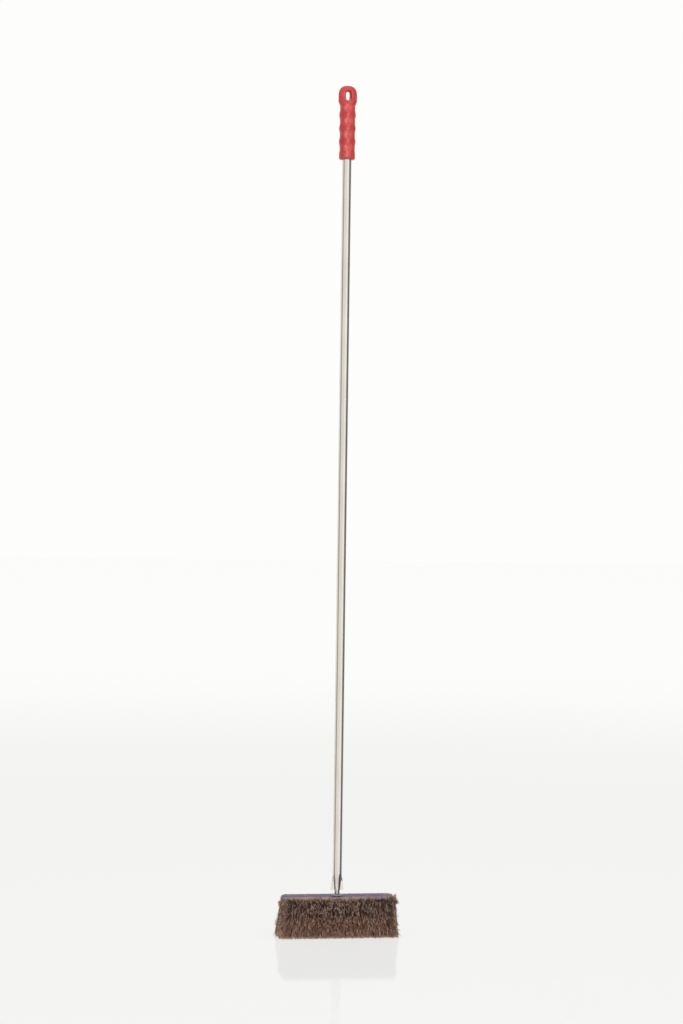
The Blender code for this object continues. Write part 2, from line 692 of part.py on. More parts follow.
def eye_rings():
    """The grip's head: widened and flattened from the body's top, then rounded over."""
    rings = []
    for step in range(1, EYE_RINGS // 2 + 1):
        share = step / (EYE_RINGS // 2)
        z = BODY_TOP_Z + (EYE_Z - BODY_TOP_Z) * share
        widening = smooth_step(min(share * 2, 1.0))
        half_x = GRIP_RADIUS + (EYE_HALF_WIDTH - GRIP_RADIUS) * widening
        half_y = GRIP_RADIUS + (EYE_HALF_THICKNESS - GRIP_RADIUS) * smooth_step(share)
        rings.append(grip_ring(z, half_x, half_y))
    rise = GRIP_TOP_Z - EYE_Z
    for step in range(1, EYE_RINGS):
        angle = math.pi / 2 * step / EYE_RINGS
        height = math.sin(angle) ** (2 / EYE_ROUNDNESS)
        width = math.cos(angle) ** (2 / EYE_ROUNDNESS)
        rings.append(grip_ring(EYE_Z + rise * height, EYE_HALF_WIDTH * width, EYE_HALF_THICKNESS * width))
    crown = EYE_CROWN_SHARE
    rings.append(grip_ring(GRIP_TOP_Z, EYE_HALF_WIDTH * crown, EYE_HALF_THICKNESS * crown))
    return rings


def slot_outline(half_width, half_height, y):
    """A slot with round ends, in the plane at a depth."""
    points = []
    for sign in (1, -1):
        for step in range(SLOT_STEPS + 1):
            angle = math.pi * step / SLOT_STEPS
            x = sign * half_width * math.cos(angle)
            z = SLOT_Z + sign * (half_height - half_width + half_width * math.sin(angle))
            points.append(Vector((x, y, z)))
    return points


def slot_cutter(finish):
    """The hanging slot, flared towards both faces."""
    half_width, half_height = SLOT_WIDTH / 2, SLOT_HEIGHT / 2
    land = SLOT_LAND / 2
    far = GRIP_RADIUS + OVERRUN
    spread = SLOT_FLARE * (far - land) / (EYE_HALF_THICKNESS - land)
    rings = [slot_outline(half_width + spread, half_height + spread, -far)]
    rings.append(slot_outline(half_width, half_height, -land))
    rings.append(slot_outline(half_width, half_height, land))
    rings.append(slot_outline(half_width + spread, half_height + spread, far))
    return solid("slot_cutter", bridged(rings), finish)


def make_grip(finish):
    """One moulding: bumped body over the tube's end, with a flattened eye to hang it by."""
    rings = [grip_ring(GRIP_FOOT_Z, COLLAR_RADIUS - FOOT_ROUND, COLLAR_RADIUS - FOOT_ROUND)]
    for step in (1, 2):
        angle = math.pi / 4 * step
        radius = COLLAR_RADIUS - FOOT_ROUND * (1 - math.sin(angle))
        rings.append(grip_ring(GRIP_FOOT_Z + FOOT_ROUND * (1 - math.cos(angle)), radius, radius))
    count = round((BODY_TOP_Z - COLLAR_Z) / BUMP_PITCH * RINGS_PER_BUMP)
    for step in range(count + 1):
        z = COLLAR_Z + (BODY_TOP_Z - COLLAR_Z) * step / count
        rings.append(grip_ring(z, GRIP_RADIUS, GRIP_RADIUS, body_radius))
    grip = solid("grip", bridged(rings + eye_rings()), finish)
    socket = turned([(SOCKET_RADIUS, GRIP_FOOT_Z - OVERRUN), (SOCKET_RADIUS, SOCKET_TOP_Z)], TUBE_SIDES)
    combine(grip, solid("socket_cutter", socket, finish), "DIFFERENCE")
    combine(grip, slot_cutter(finish), "DIFFERENCE")
    return grip


def joint_empty(name, z):
    empty = bpy.data.objects.new(name, None)
    empty.location.z = z
    bpy.context.scene.collection.objects.link(empty)
    return empty


def main():
    clear_scene()
    tube_steel = material("tube_steel", (0.75, 0.73, 0.70), 0.22, 1.0)
    plate_steel = material("plate_steel", (0.45, 0.42, 0.45), 0.30, 1.0)
    fastener_steel = material("fastener_steel", (0.62, 0.61, 0.60), 0.35, 1.0)
    wood = material("wood", (0.48, 0.33, 0.20), 0.70)
    fibre = material("fibre", (0.17, 0.10, 0.07), 0.85)
    red_plastic = material("red_plastic", (0.60, 0.095, 0.085), 0.45)

    plate = make_cover_plate(plate_steel)
    board = make_tuft_board(wood)
    for number, x in enumerate(SCREW_PLACES, start=1):
        parent_to(make_screw(number, x, fastener_steel), board)
    for side, row, y in groove_places():
        parent_to(make_draw_wire(side, row, y, fastener_steel), board)
        parent_to(make_bristle_row(side, row, fibre), board)
    parent_to(make_threaded_insert(fastener_steel), board)
    parent_to(plate, board)

    turn_axis = joint_empty("turn_axis", WASHER_FOOT_Z)
    rise_axis = joint_empty("rise_axis", NECK_FOOT_Z)
    bpy.context.view_layer.update()
    parent_to(rise_axis, turn_axis)
    parent_to(make_seat_washer(fastener_steel), turn_axis)
    for piece in (make_threaded_stud(fastener_steel), make_handle_tube(tube_steel), make_grip(red_plastic)):
        parent_to(piece, rise_axis)


main()
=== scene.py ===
"""Looks of the oven brush: materials, fibre, thread, screws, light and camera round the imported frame.

Lengths are in metres, in the frame's own axes: +Z up, the head's long side along X, front towards -Y.
"""

import math
import random
from collections import namedtuple

import bmesh
import bpy
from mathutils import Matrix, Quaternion, Vector


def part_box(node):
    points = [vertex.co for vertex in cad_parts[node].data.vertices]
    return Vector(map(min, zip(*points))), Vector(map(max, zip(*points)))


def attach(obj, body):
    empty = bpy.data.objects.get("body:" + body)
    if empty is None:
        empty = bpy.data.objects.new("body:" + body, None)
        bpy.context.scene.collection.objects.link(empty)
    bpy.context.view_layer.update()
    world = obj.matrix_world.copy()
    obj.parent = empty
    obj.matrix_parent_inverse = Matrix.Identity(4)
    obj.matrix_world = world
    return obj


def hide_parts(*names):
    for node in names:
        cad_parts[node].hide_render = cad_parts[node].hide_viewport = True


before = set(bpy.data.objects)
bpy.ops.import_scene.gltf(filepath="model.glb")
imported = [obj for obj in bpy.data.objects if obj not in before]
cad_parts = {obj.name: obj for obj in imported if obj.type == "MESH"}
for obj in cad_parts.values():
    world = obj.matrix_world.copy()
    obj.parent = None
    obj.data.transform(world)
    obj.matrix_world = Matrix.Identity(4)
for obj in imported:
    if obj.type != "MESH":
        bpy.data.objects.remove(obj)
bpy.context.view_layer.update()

MM = 0.001
SMOOTH_ANGLE = math.radians(35.0)
WELD_REACH = 0.001 * MM
HALVES = {"front": -1, "back": 1}  # of the head, with their sign on Y

# Camera, read from the photograph
SENSOR = 36.0  # millimetres, along the picture's long side
LENS = 85.0
CAMERA_CLIP = 200.0
CAMERA_DISTANCE = 5.23
CAMERA_HEIGHT = 0.918
CAMERA_SIDE = -1.4 * MM
CAMERA_YAW = math.radians(8.7)  # round towards the head's left end
CAMERA_ROLL = math.radians(0.78)

# Places taken from the frame
PLATE_LOW, PLATE_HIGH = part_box("cover_plate")
STUD_LOW, STUD_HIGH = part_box("threaded_stud")
WASHER_LOW, WASHER_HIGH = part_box("seat_washer")
TUBE_LOW, TUBE_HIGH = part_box("handle_tube")
GRIP_LOW, GRIP_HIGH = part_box("grip")
# The board's round underside, as in the solids
ROWS_PER_SIDE = 4
PLATE_SHEET = 1.0 * MM
SLAB_DROP = 0.6 * MM
SEAT_GAP = 0.3 * MM
FAN_ROUND_SHARE = 0.78
FAN_REACH = math.radians(85.0)
END_STEP = math.radians(17.0)
ROW_END_STEPS = (4, 3, 3, 4)
BACKING = 5.0 * MM
ROW_GAP = 0.3 * MM
SLAB_HALF_DEPTH = PLATE_HIGH.y - PLATE_SHEET - SEAT_GAP
FAN_RADIUS = SLAB_HALF_DEPTH * FAN_ROUND_SHARE
FAN_HALF_FLAT = SLAB_HALF_DEPTH - FAN_RADIUS
FAN_HALF_LENGTH = PLATE_HIGH.x - PLATE_SHEET - SEAT_GAP - FAN_RADIUS
OUTER_ROW_RISE = (FAN_RADIUS - BACKING) * math.cos(FAN_REACH) * math.cos(END_STEP * ROW_END_STEPS[-1])
FAN_EDGE_Z = PLATE_LOW.z - SLAB_DROP - SEAT_GAP + OUTER_ROW_RISE
ROW_WIDTH = (FAN_HALF_FLAT + FAN_RADIUS * FAN_REACH) / ROWS_PER_SIDE

# Fibre, in clumps of strands that end evenly spread over the trimmed faces
TUFT_PITCH = 4.7 * MM
LANES_PER_ROW = 2
TUFT_RADIUS = 2.2 * MM
ROOT_DEPTH = 1.5 * MM
SIDE_DENSITY = 0.108 / MM**2  # clumps that end on a square metre of a side or end
FOOT_DENSITY = 0.115 / MM**2
STRANDS_PER_CLUMP = 4
CLUMP_SPREAD = 1.2 * MM
STRAND_RADIUS = 0.52 * MM
STRAND_RADIUS_SHARES = (0.7, 1.2)  # of that radius
STRAND_TIP_SHARE = 0.55
STRAND_SIDES = 3
STRAND_SHARES = (0.0, 0.5)  # of a strand's length, at its rings before its end with painted light
LEAST_BODY_SHARE = 0.05
SEED = 7
# Its trimmed faces, with corners that are round seen from above
FIBRE_TOP_Z = PLATE_HIGH.z
TRIM_TOP_SIDE = 30.5 * MM
TRIM_FOOT_SIDE = 33.0 * MM
TOP_CORNER = 14.0 * MM
FOOT_CORNER = 4.0 * MM
CENTRE_OVERLAP = 4.0 * MM
# Each end's reach at the foot and at the top, how far below the plate's top its fibre stops, how far
# its strays stand up, and how far its fringe stands over the plate, which the front or back gives
End = namedtuple("End", "foot top drop rise over", defaults=(0.0,))
ENDS = {
    -1: End(129.5 * MM, 121.0 * MM, 10.0 * MM, 0.0),
    1: End(131.0 * MM, 126.5 * MM, 3.0 * MM, 16.0 * MM),
}
# Where its strands leave the board
FOOT_ACROSS_SHARE = 0.36  # of the way round, for those that reach the foot
RISE_POWER = 0.9  # the height that they end at goes with this power of the height that they leave at
RISE_JITTER_SHARE = 0.10
FOOT_END_SPREAD = 3.0 * MM
SIDE_END_SPREAD = 10.0 * MM
FOOT_EDGE_POWER = 0.6  # below 1, so that the foot is fullest along its long edges
# How they curl, and how ragged they end
FULL_CURL = 20.0 * MM  # fall from root to tip at which a strand curls out in full
CURL_OUT_SHARE = 0.40
CURL_OUT_SPREAD_SHARES = (0.4, 1.6)  # of that share
CURL_UP_SHARE = 0.24
CURL_JITTER_SHARE = 0.15
OUTWARD_JITTER_SHARE = 0.10
RAGGED_SIDE = 7.0 * MM
RAGGED_FOOT = 2.0 * MM
RAGGED_STRAND = 2.0 * MM
STRAY_SHARE = 0.08
STRAY_REACH = 4.0 * MM
END_STRAY_REACH = 7.0 * MM
MOST_BULGE = 5.0 * MM  # past the trimmed side
FLOOR_CLEARANCE = 0.1 * MM
# Its fringe: more clumps, which stand up outside the plate's skirt
SKIRT_CLEARANCE = 1.5 * MM
FRINGE_DENSITY = 0.13 / MM**2
FRINGE_LOW_Z = 70.0 * MM
FRINGE_RAGGED = 7.0 * MM
FRINGE_OVERS = {"front": 1.5 * MM, "back": -1.5 * MM}  # how far most of it stands over the plate
TIP_OVER = 1.0 * MM
# Its tones, 0 for the darkest fibre to 1 for the palest
TONE_MEAN_SHARE = 0.46
TONE_SPREAD_SHARE = 0.30
STRAND_TONE_SHARE = 0.12  # spread within a clump
FRINGE_PAINTED_SHADE_SHARE = 0.55  # of the tone, for clumps along the plate's skirt: painted shade by the plate
LIT_LENGTH = 5.5 * MM  # over which a strand's end with painted light fades into its root with painted shade
PAINTED_LIGHT_TOP_Z = 46.0 * MM  # the tips get more painted light and a warmer hue the further they are below this
# Painted light near the floor: paler tips, a warmer hue, and a longer lit end
LOW_PAINTED_LIGHT_SHARE = 0.53
LOW_WARM_SHARE = 0.4
LOW_LIT_SHARE = 0.2
LOW_LIT_LENGTH_SHARE = 0.8

# Handle tube
TUBE_RADIUS = TUBE_HIGH.y
TUBE_WALL = 1.0 * MM
PRESS_LENGTH = 33.0 * MM
PRESS_FLAT = 3.0 * MM
WING_HALF_THICKNESS = 1.15 * MM
WING_ROOT = 6.4 * MM  # half width of the raised middle where it runs out into the wings
WING_TURN = math.radians(37.5)  # share of each quarter turn of points that a wing gets
WING_BLEND = 1.2
PRESSED_BORE_RADIUS = 4.9 * MM
PRESS_START_SHARE = 0.6  # of the press, over which the circle turns into the pressed outline
PRESS_STEPS = 48
TUBE_SIDES = 96

# Grip
GRIP_RADIUS = 16.9 * MM
GRIP_BUMP = 1.1 * MM
BUMP_PITCH = 28.9 * MM
BUMP_COLUMNS = 4
COLLAR_RISE = 9.6 * MM
COLLAR_RADIUS = 17.4 * MM
WAIST_RADIUS = 16.2 * MM
FOOT_ROUND = 3.6 * MM
EYE_HALF_THICKNESS = 11.5 * MM
EYE_ROUNDNESS = 2.5
EYE_CROWN_SHARE = 0.2
BODY_TOP_Z = GRIP_HIGH.z - 44.0 * MM
EYE_Z = GRIP_HIGH.z - 22.5 * MM
SLOT_Z = GRIP_HIGH.z - 22.0 * MM
SOCKET_TOP_Z = GRIP_HIGH.z - 50.0 * MM
SOCKET_RADIUS = TUBE_RADIUS + SEAT_GAP
COLLAR_Z = GRIP_LOW.z + COLLAR_RISE
SLOT_WIDTH = 8.0 * MM
SLOT_HEIGHT = 18.0 * MM
SLOT_FLARE = 3.4 * MM
SLOT_LAND = 6.0 * MM
SLOT_STEPS = 15
OVERRUN = 1.0 * MM
RINGS_PER_BUMP = 20
FOOT_RINGS = 6
EYE_RINGS = 20
GRIP_SIDES = 96

# Stud and screws
THREAD_RADIUS = 5.0 * MM
THREAD_PITCH = 1.5 * MM
THREAD_DEPTH = 0.8 * MM
STEPS_PER_PITCH = 8
RELIEF_RADIUS = 4.3 * MM
RELIEF_HEIGHT = 2.0 * MM
NECK_RADIUS = 5.5 * MM
NECK_CHAMFER = 0.4 * MM
STEM_RADIUS = 4.6 * MM
STUD_CHAMFER = 1.0 * MM
STUD_SIDES = 48
SCREW_COUNT = 4
SCREW_HEAD_RADIUS = 3.5 * MM
SCREW_HEAD_RIM = 0.3 * MM
SCREW_SHANK_RADIUS = 1.75 * MM
SCREW_POINT = 3.0 * MM
SCREW_TIP_SHARE = 0.25
SCREW_SIDES = 32
RECESS_REACH = 1.9 * MM
RECESS_HALF_WIDTH = 0.5 * MM
RECESS_DEPTH = 1.8 * MM
RECESS_FOOT_SHARE = 0.35

# Materials. Most of a noise lies between its low and high, and its scales are features per metre
NOISE_LOW = 0.3
NOISE_HIGH = 0.7
FINE_DETAIL = 2.0
SOFT_DETAIL = 3.0
RICH_DETAIL = 4.0
FINE_GRAIN_DEPTH = 0.05 * MM
STAIN_SCALE = (30.0, 30.0, 12.0)
STAIN_SHARES = (0.93, 1.04)  # of a metal's colour
METAL_ROUGH_SHARES = (0.8, 1.25)  # of a metal's roughness
# A metal's grain is its scale along each axis, its scratch the grain's bump, and its edge the colour
# that it mirrors at a flat angle. Bare is below 1 where a dull skin covers it
EVEN_GRAIN = (700.0, 700.0, 700.0)
Metal = namedtuple("Metal", "name colour rough grain scratch edge bare", defaults=(None, 1.0))
METALS = {
    "tube": Metal("tube_polished", (0.76, 0.72, 0.67), 0.15, (2400.0, 2400.0, 9.0), 0.012),
    "plate": Metal(
        "plate_dark", (0.345, 0.305, 0.34), 0.3, (30.0, 1500.0, 1500.0), 0.1, edge=(0.35, 0.31, 0.36)
    ),
    "washer": Metal("washer_dull", (0.34, 0.31, 0.34), 0.65, (800.0, 800.0, 800.0), 0.05, bare=0.25),
    "fastener": Metal("fastener_plated", (0.58, 0.56, 0.54), 0.28, EVEN_GRAIN, 0.05),
    "screw": Metal("screw_dark", (0.30, 0.28, 0.30), 0.34, EVEN_GRAIN, 0.05),
    "brass": Metal("insert_brass", (0.62, 0.43, 0.20), 0.35, EVEN_GRAIN, 0.05),
}
WOOD_SCALE = (18.0, 260.0, 260.0)
WOOD_DETAIL = 5.0
WOOD_DISTORTION = 0.6
WOOD_COLOURS = ((0.16, 0.085, 0.045), (0.26, 0.15, 0.08), (0.36, 0.22, 0.12))
WOOD_ROUGHNESS = (0.55, 0.8)
WOOD_BUMP = 0.5
WOOD_GRAIN_DEPTH = 0.3 * MM
FIBRE_SPECULAR = 0.35
FIBRE_ROUGHNESS = (0.45, 0.75)
FLECK_SCALE = (900.0, 900.0, 300.0)
FLECK_COLOURS = ((0.72, 0.70, 0.68), (1.0, 1.0, 1.0))
# A strand's colours by its tone, at its root with painted shade and at its end with painted light, and its
# tints by its hue
SHADED_ROOT_COLOURS = ((0.0, (0.045, 0.034, 0.031)), (0.5, (0.110, 0.076, 0.063)), (1.0, (0.20, 0.140, 0.115)))
LIT_END_COLOURS = (
    (0.0, (0.22, 0.164, 0.145)),
    (0.4, (0.84, 0.580, 0.460)),
    (0.7, (1.0, 0.720, 0.540)),
    (1.0, (1.0, 0.880, 0.780)),
)
TINTS = ((0.1, (0.87, 0.89, 0.96)), (0.5, (1.0, 0.86, 0.78)), (0.9, (1.0, 0.72, 0.58)))
PLASTIC_SPECULAR = 0.6
PLASTIC_SCALE = (60.0, 60.0, 40.0)
PLASTIC_COLOURS = ((0.465, 0.033, 0.030), (0.53, 0.042, 0.037))
PLASTIC_ROUGHNESS = (0.33, 0.41)
PLASTIC_TEXTURE_SCALE = (2600.0, 2600.0, 2600.0)
PLASTIC_BUMP = 0.12

# Floor and background, in metres
WHITE = (1.0, 1.0, 1.0)
BACKGROUND = (0.985, 0.985, 0.978)
WORLD_LIGHT = 0.62
FLOOR_SIZE = 80.0
FLOOR_COLOUR = (1.0, 1.0, 0.985)
FLOOR_NEAR = 1.0  # from the brush
FLOOR_FAR = 9.0
FLOOR_GLOW_NEAR = 0.69
FLOOR_GLOW_FAR = 0.80
FLOOR_GLOSS = 0.115
FLOOR_ROUGHNESS = 0.06
FLOOR_SHADE = 0.10
FLOOR_BOUNCE = 0.8
COVER_SIZE = 20.0
COVER_HEIGHT = 0.05 * MM

# Lamps, in metres and watts
Lamp = namedtuple("Lamp", "place size power target")
LAMPS = {
    "key": Lamp((1.6, -2.6, 2.6), (1.6, 1.6), 45.0, (0.0, 0.0, 0.7)),
    "fill": Lamp((-2.4, -2.0, 1.6), (1.4, 2.0), 18.0, (0.0, 0.0, 0.7)),
    "top": Lamp((0.0, 0.4, 3.4), (1.6, 1.6), 25.0, (0.0, 0.0, 0.0)),
}

# Panels that the polished metal mirrors. A stand is a distance from the brush, a foot and a top in
# metres. The angles are degrees, counted round from the camera to the right
PANEL_FOOT = 5.0 * MM
Stand = namedtuple("Stand", "distance foot top")
TALL_STAND = Stand(0.62, PANEL_FOOT, 3.0)
WING_STAND = Stand(0.3, PANEL_FOOT, 0.12)
FOOT_STAND = Stand(0.2, PANEL_FOOT, 0.11)
GRIP_STAND = Stand(0.45, 1.66, 1.92)
Panel = namedtuple("Panel", "low_angle high_angle tone stand", defaults=(TALL_STAND,))
PANELS = {
    "panel_dark_right": Panel(62.0, 132.0, (0.205, 0.200, 0.190)),
    "panel_dark_low": Panel(44.0, 132.0, (0.125, 0.121, 0.115), FOOT_STAND),
    "panel_dark_left": Panel(-92.0, -56.0, (0.42, 0.41, 0.39)),
    "panel_left_low": Panel(-92.0, -56.0, (0.30, 0.29, 0.275), FOOT_STAND),
    "panel_wings": Panel(10.0, 25.0, (1.03, 1.06, 1.1), WING_STAND),
    "panel_warm_front": Panel(-56.0, 15.0, (0.95, 0.93, 0.91)),
    "panel_bright_right": Panel(15.0, 61.0, (1.12, 1.11, 1.10)),
}
GRIP_PANEL = Panel(-8.0, 10.0, (6.5, 6.5, 6.5), GRIP_STAND)


def new_object(name, data):
    """An object in the scene's own collection."""
    made = bpy.data.objects.new(name, data)
    bpy.context.scene.collection.objects.link(made)
    return made


def smooth(mesh):
    """Smooth shading with the hard edges kept."""
    mesh.shade_smooth()
    mesh.set_sharp_from_angle(angle=SMOOTH_ANGLE)


def bridged(rings, around=False):
    """A bmesh through rings of equally many points: closed round from last to first, or capped."""
    bm = bmesh.new()
    loops = [[bm.verts.new(point) for point in ring] for ring in rings]
    pairs = list(zip(loops, loops[1:]))
    if around:
        pairs.append((loops[-1], loops[0]))
    for lower, upper in pairs:
        for i in range(len(lower)):
            j = (i + 1) % len(lower)
            bm.faces.new((lower[i], lower[j], upper[j], upper[i]))
    if not around:
        bm.faces.new(reversed(loops[0]))
        bm.faces.new(loops[-1])
    return bm


def ring_at(radius, z, sides):
    """A ring about Z. radius is a length or a function of the angle."""
    points = []
    for i in range(sides):
        angle = 2 * math.pi * i / sides
        reach = radius(angle) if callable(radius) else radius
        points.append(Vector((reach * math.cos(angle), reach * math.sin(angle), z)))
    return points


def piece(name, bm, finish):
    """An object of a bmesh, which it uses up, with smooth shading and a material."""
    bmesh.ops.recalc_face_normals(bm, faces=bm.faces[:])
    mesh = bpy.data.meshes.new(name)
    bm.to_mesh(mesh)
    bm.free()
    smooth(mesh)
    mesh.materials.append(finish)
    return new_object(name, mesh)


# Materials


def opaque(colour):
    """A colour with its alpha."""
    return (*colour, 1.0)


def grey(level):
    """An even colour with its alpha."""
    return opaque((level, level, level))


class Shader:
    """A material's node tree with short calls to add nodes and link them."""

    def __init__(self, name):
        self.material = bpy.data.materials.new(name)
        self.material.use_nodes = True
        self.tree = self.material.node_tree
        self.main = self.tree.nodes["Principled BSDF"]
        self.place = self.add("ShaderNodeTexCoord").outputs["Object"]

    def add(self, kind, values=None, **settings):
        """A new node with its settings, and values for its inputs by name."""
        node = self.tree.nodes.new(kind)
        for key, value in settings.items():
            setattr(node, key, value)
        for key, value in (values or {}).items():
            node.inputs[key].default_value = value
        return node

    def link(self, output, socket):
        self.tree.links.new(output, socket)

    def noise(self, scale, detail=SOFT_DETAIL, distortion=0.0):
        """Noise in object coordinates, with its scale for each axis."""
        stretched = self.add("ShaderNodeMapping", {"Scale": scale})
        self.link(self.place, stretched.inputs["Vector"])
        node = self.add("ShaderNodeTexNoise", {"Scale": 1.0, "Detail": detail, "Distortion": distortion})
        self.link(stretched.outputs["Vector"], node.inputs["Vector"])
        return node.outputs["Fac"]

    def ramp(self, factor, stops):
        """A colour ramp of (position, colour) stops."""
        node = self.add("ShaderNodeValToRGB")
        elements = node.color_ramp.elements
        while len(elements) < len(stops):
            elements.new(0.5)
        for element, (position, colour) in zip(elements, stops):
            element.position = position
            element.color = opaque(colour)
        self.link(factor, node.inputs["Fac"])
        return node.outputs["Color"]

    def blotched(self, noise, *colours):
        """Colours spread evenly over the noise's middle."""
        step = (NOISE_HIGH - NOISE_LOW) / (len(colours) - 1)
        return self.ramp(noise, [(NOISE_LOW + step * i, colour) for i, colour in enumerate(colours)])

    def spread(self, noise, low, high):
        """The noise's middle stretched to run from low to high."""
        levels = {"From Min": NOISE_LOW, "From Max": NOISE_HIGH, "To Min": low, "To Max": high}
        node = self.add("ShaderNodeMapRange", levels)
        self.link(noise, node.inputs["Value"])
        return node.outputs["Result"]

    def mixed(self, first, second, factor):
        """Two colours mixed by another node's output."""
        node = self.add("ShaderNodeMix", data_type="RGBA")
        self.link(factor, node.inputs["Factor"])
        self.link(first, node.inputs["A"])
        self.link(second, node.inputs["B"])
        return node.outputs["Result"]

    def tinted(self, colour, tint):
        """Two colours multiplied."""
        node = self.add("ShaderNodeMix", {"Factor": 1.0}, data_type="RGBA", blend_type="MULTIPLY")
        self.link(colour, node.inputs["A"])
        self.link(tint, node.inputs["B"])
        return node.outputs["Result"]

    def bump(self, height, strength, distance):
        node = self.add("ShaderNodeBump", {"Strength": strength, "Distance": distance})
        self.link(height, node.inputs["Height"])
        self.link(node.outputs["Normal"], self.main.inputs["Normal"])

    def colour(self, output):
        self.link(output, self.main.inputs["Base Color"])

    def roughness(self, output):
        self.link(output, self.main.inputs["Roughness"])

    def surface(self, kind, values=None):
        """The output of a new shader node."""
        return self.add(kind, values).outputs[0]

    def summed(self, first, second):
        """Two shaders added."""
        node = self.add("ShaderNodeAddShader")
        self.link(first, node.inputs[0])
        self.link(second, node.inputs[1])
        return node.outputs["Shader"]

    def chosen(self, factor, first, second):
        """The first shader where the factor is 0, the second where it is 1."""
        node = self.add("ShaderNodeMixShader")
        self.link(factor, node.inputs["Fac"])
        self.link(first, node.inputs[1])
        self.link(second, node.inputs[2])
        return node.outputs["Shader"]

    def show(self, output):
        """Shows this shader in place of the main one."""
        self.tree.nodes.remove(self.main)
        self.link(output, self.tree.nodes["Material Output"].inputs["Surface"])


def metal(name, colour, rough, grain, scratch, edge, bare):
    """A metal with its fine grain, slight stains, and smears in the polish."""
    shader = Shader(name)
    shader.main.inputs["Metallic"].default_value = bare
    if edge:
        shader.main.inputs["Specular Tint"].default_value = opaque(edge)
    stain = shader.noise(STAIN_SCALE, RICH_DETAIL)
    stained = [tuple(channel * share for channel in colour) for share in STAIN_SHARES]
    shader.colour(shader.blotched(stain, *stained))
    lines = shader.noise(grain, FINE_DETAIL)
    shader.roughness(shader.spread(lines, *[rough * share for share in METAL_ROUGH_SHARES]))
    shader.bump(lines, scratch, FINE_GRAIN_DEPTH)
    return shader.material


def wood(name):
    """Beech that the oven has darkened, its grain along X."""
    shader = Shader(name)
    grain = shader.noise(WOOD_SCALE, WOOD_DETAIL, WOOD_DISTORTION)
    shader.colour(shader.blotched(grain, *WOOD_COLOURS))
    shader.roughness(shader.spread(grain, *WOOD_ROUGHNESS))
    shader.bump(grain, WOOD_BUMP, WOOD_GRAIN_DEPTH)
    return shader.material


def fibre(name):
    """Plant fibre: each strand has its own brown, darkened towards the root with painted shade and paler at
    its end with painted light.
    """
    shader = Shader(name)
    shader.main.inputs["Specular IOR Level"].default_value = FIBRE_SPECULAR
    attribute = shader.add("ShaderNodeVertexColor", layer_name="strand")
    parts = shader.add("ShaderNodeSeparateColor")
    shader.link(attribute.outputs["Color"], parts.inputs["Color"])
    tone, lit, hue = [parts.outputs[channel] for channel in ("Red", "Green", "Blue")]
    flecks = shader.noise(FLECK_SCALE, FINE_DETAIL)
    # Painted shade darkens each strand towards its root, and painted light makes its end paler, blended by
    # its lit share
    colour = shader.mixed(shader.ramp(tone, SHADED_ROOT_COLOURS), shader.ramp(tone, LIT_END_COLOURS), lit)
    colour = shader.tinted(colour, shader.blotched(flecks, *FLECK_COLOURS))
    shader.colour(shader.tinted(colour, shader.ramp(hue, TINTS)))
    shader.roughness(shader.spread(flecks, *FIBRE_ROUGHNESS))
    return shader.material


def plastic(name):
    """The grip's soft red moulding, with a fine spark-eroded texture."""
    shader = Shader(name)
    shader.main.inputs["Specular IOR Level"].default_value = PLASTIC_SPECULAR
    tone = shader.noise(PLASTIC_SCALE)
    shader.colour(shader.blotched(tone, *PLASTIC_COLOURS))
    shader.roughness(shader.spread(tone, *PLASTIC_ROUGHNESS))
    shader.bump(shader.noise(PLASTIC_TEXTURE_SCALE, FINE_DETAIL), PLASTIC_BUMP, FINE_GRAIN_DEPTH)
    return shader.material


MATERIALS = {key: metal(*values) for key, values in METALS.items()}
MATERIALS["wood"] = wood("board_wood")
MATERIALS["fibre"] = fibre("brush_fibre")
MATERIALS["plastic"] = plastic("grip_red")

CAD_FINISHES = {
    "cover_plate": "plate",
    "seat_washer": "washer",
    "threaded_insert": "brass",
    "tuft_board": "wood",
}


def finish_cad_nodes():
    """Materials and smooth shading for the nodes that stay as they are."""
    for name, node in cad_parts.items():
        key = CAD_FINISHES.get(name) or ("fastener" if name.startswith("draw_wire") else None)
        if key is None:
            continue
        node.data.materials.clear()
        node.data.materials.append(MATERIALS[key])
        node.data.attributes.remove(node.data.attributes["custom_normal"])
        node.data.shade_smooth()
        weld = node.modifiers.new("join_facets", "WELD")
        weld.merge_threshold = WELD_REACH
        split = node.modifiers.new("hard_edges", "EDGE_SPLIT")
        split.split_angle = SMOOTH_ANGLE
        split.use_edge_sharp = False


# Fibre rows

# The corners, faces and colours of many strands
Strands = namedtuple("Strands", "verts faces tones")


def fan_point(across, tilt, radius):
    """A point on the board's round underside, in the quarter at +X, +Y."""
    flat = min(across, FAN_HALF_FLAT)
    angle = (across - flat) / FAN_RADIUS
    out = Vector((math.sin(tilt), math.cos(tilt) * math.sin(angle), -math.cos(tilt) * math.cos(angle)))
    return Vector((FAN_HALF_LENGTH, flat, FAN_EDGE_Z)) + radius * out


def row_slice(row, sign_y):
    """The slice of the board that carries one row, bent up round both ends."""
    low = row * ROW_WIDTH + ROW_GAP / 2
    high = (row + 1) * ROW_WIDTH - ROW_GAP / 2
    inner, outer = FAN_RADIUS - BACKING, FAN_RADIUS
    tilts = [END_STEP * step for step in range(ROW_END_STEPS[row] + 1)]
    rings = []
    for sign_x, tilt in [(-1, tilt) for tilt in reversed(tilts)] + [(1, tilt) for tilt in tilts]:
        ring = []
        for across, radius in ((low, inner), (high, inner), (high, outer), (low, outer)):
            point = fan_point(across, tilt, radius)
            ring.append(Vector((point.x * sign_x, point.y * sign_y, point.z)))
        rings.append(ring)
    return bridged(rings)


def make_row_slices():
    """The slices of the board that the solids' fibre rows carry, which the full fibre stands in."""
    for side, sign_y in HALVES.items():
        for row in range(ROWS_PER_SIDE):
            made = piece(f"row_slice_{side}_{row + 1}", row_slice(row, sign_y), MATERIALS["wood"])
            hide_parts(f"bristle_row_{side}_{row + 1}")
            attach(made, "head")


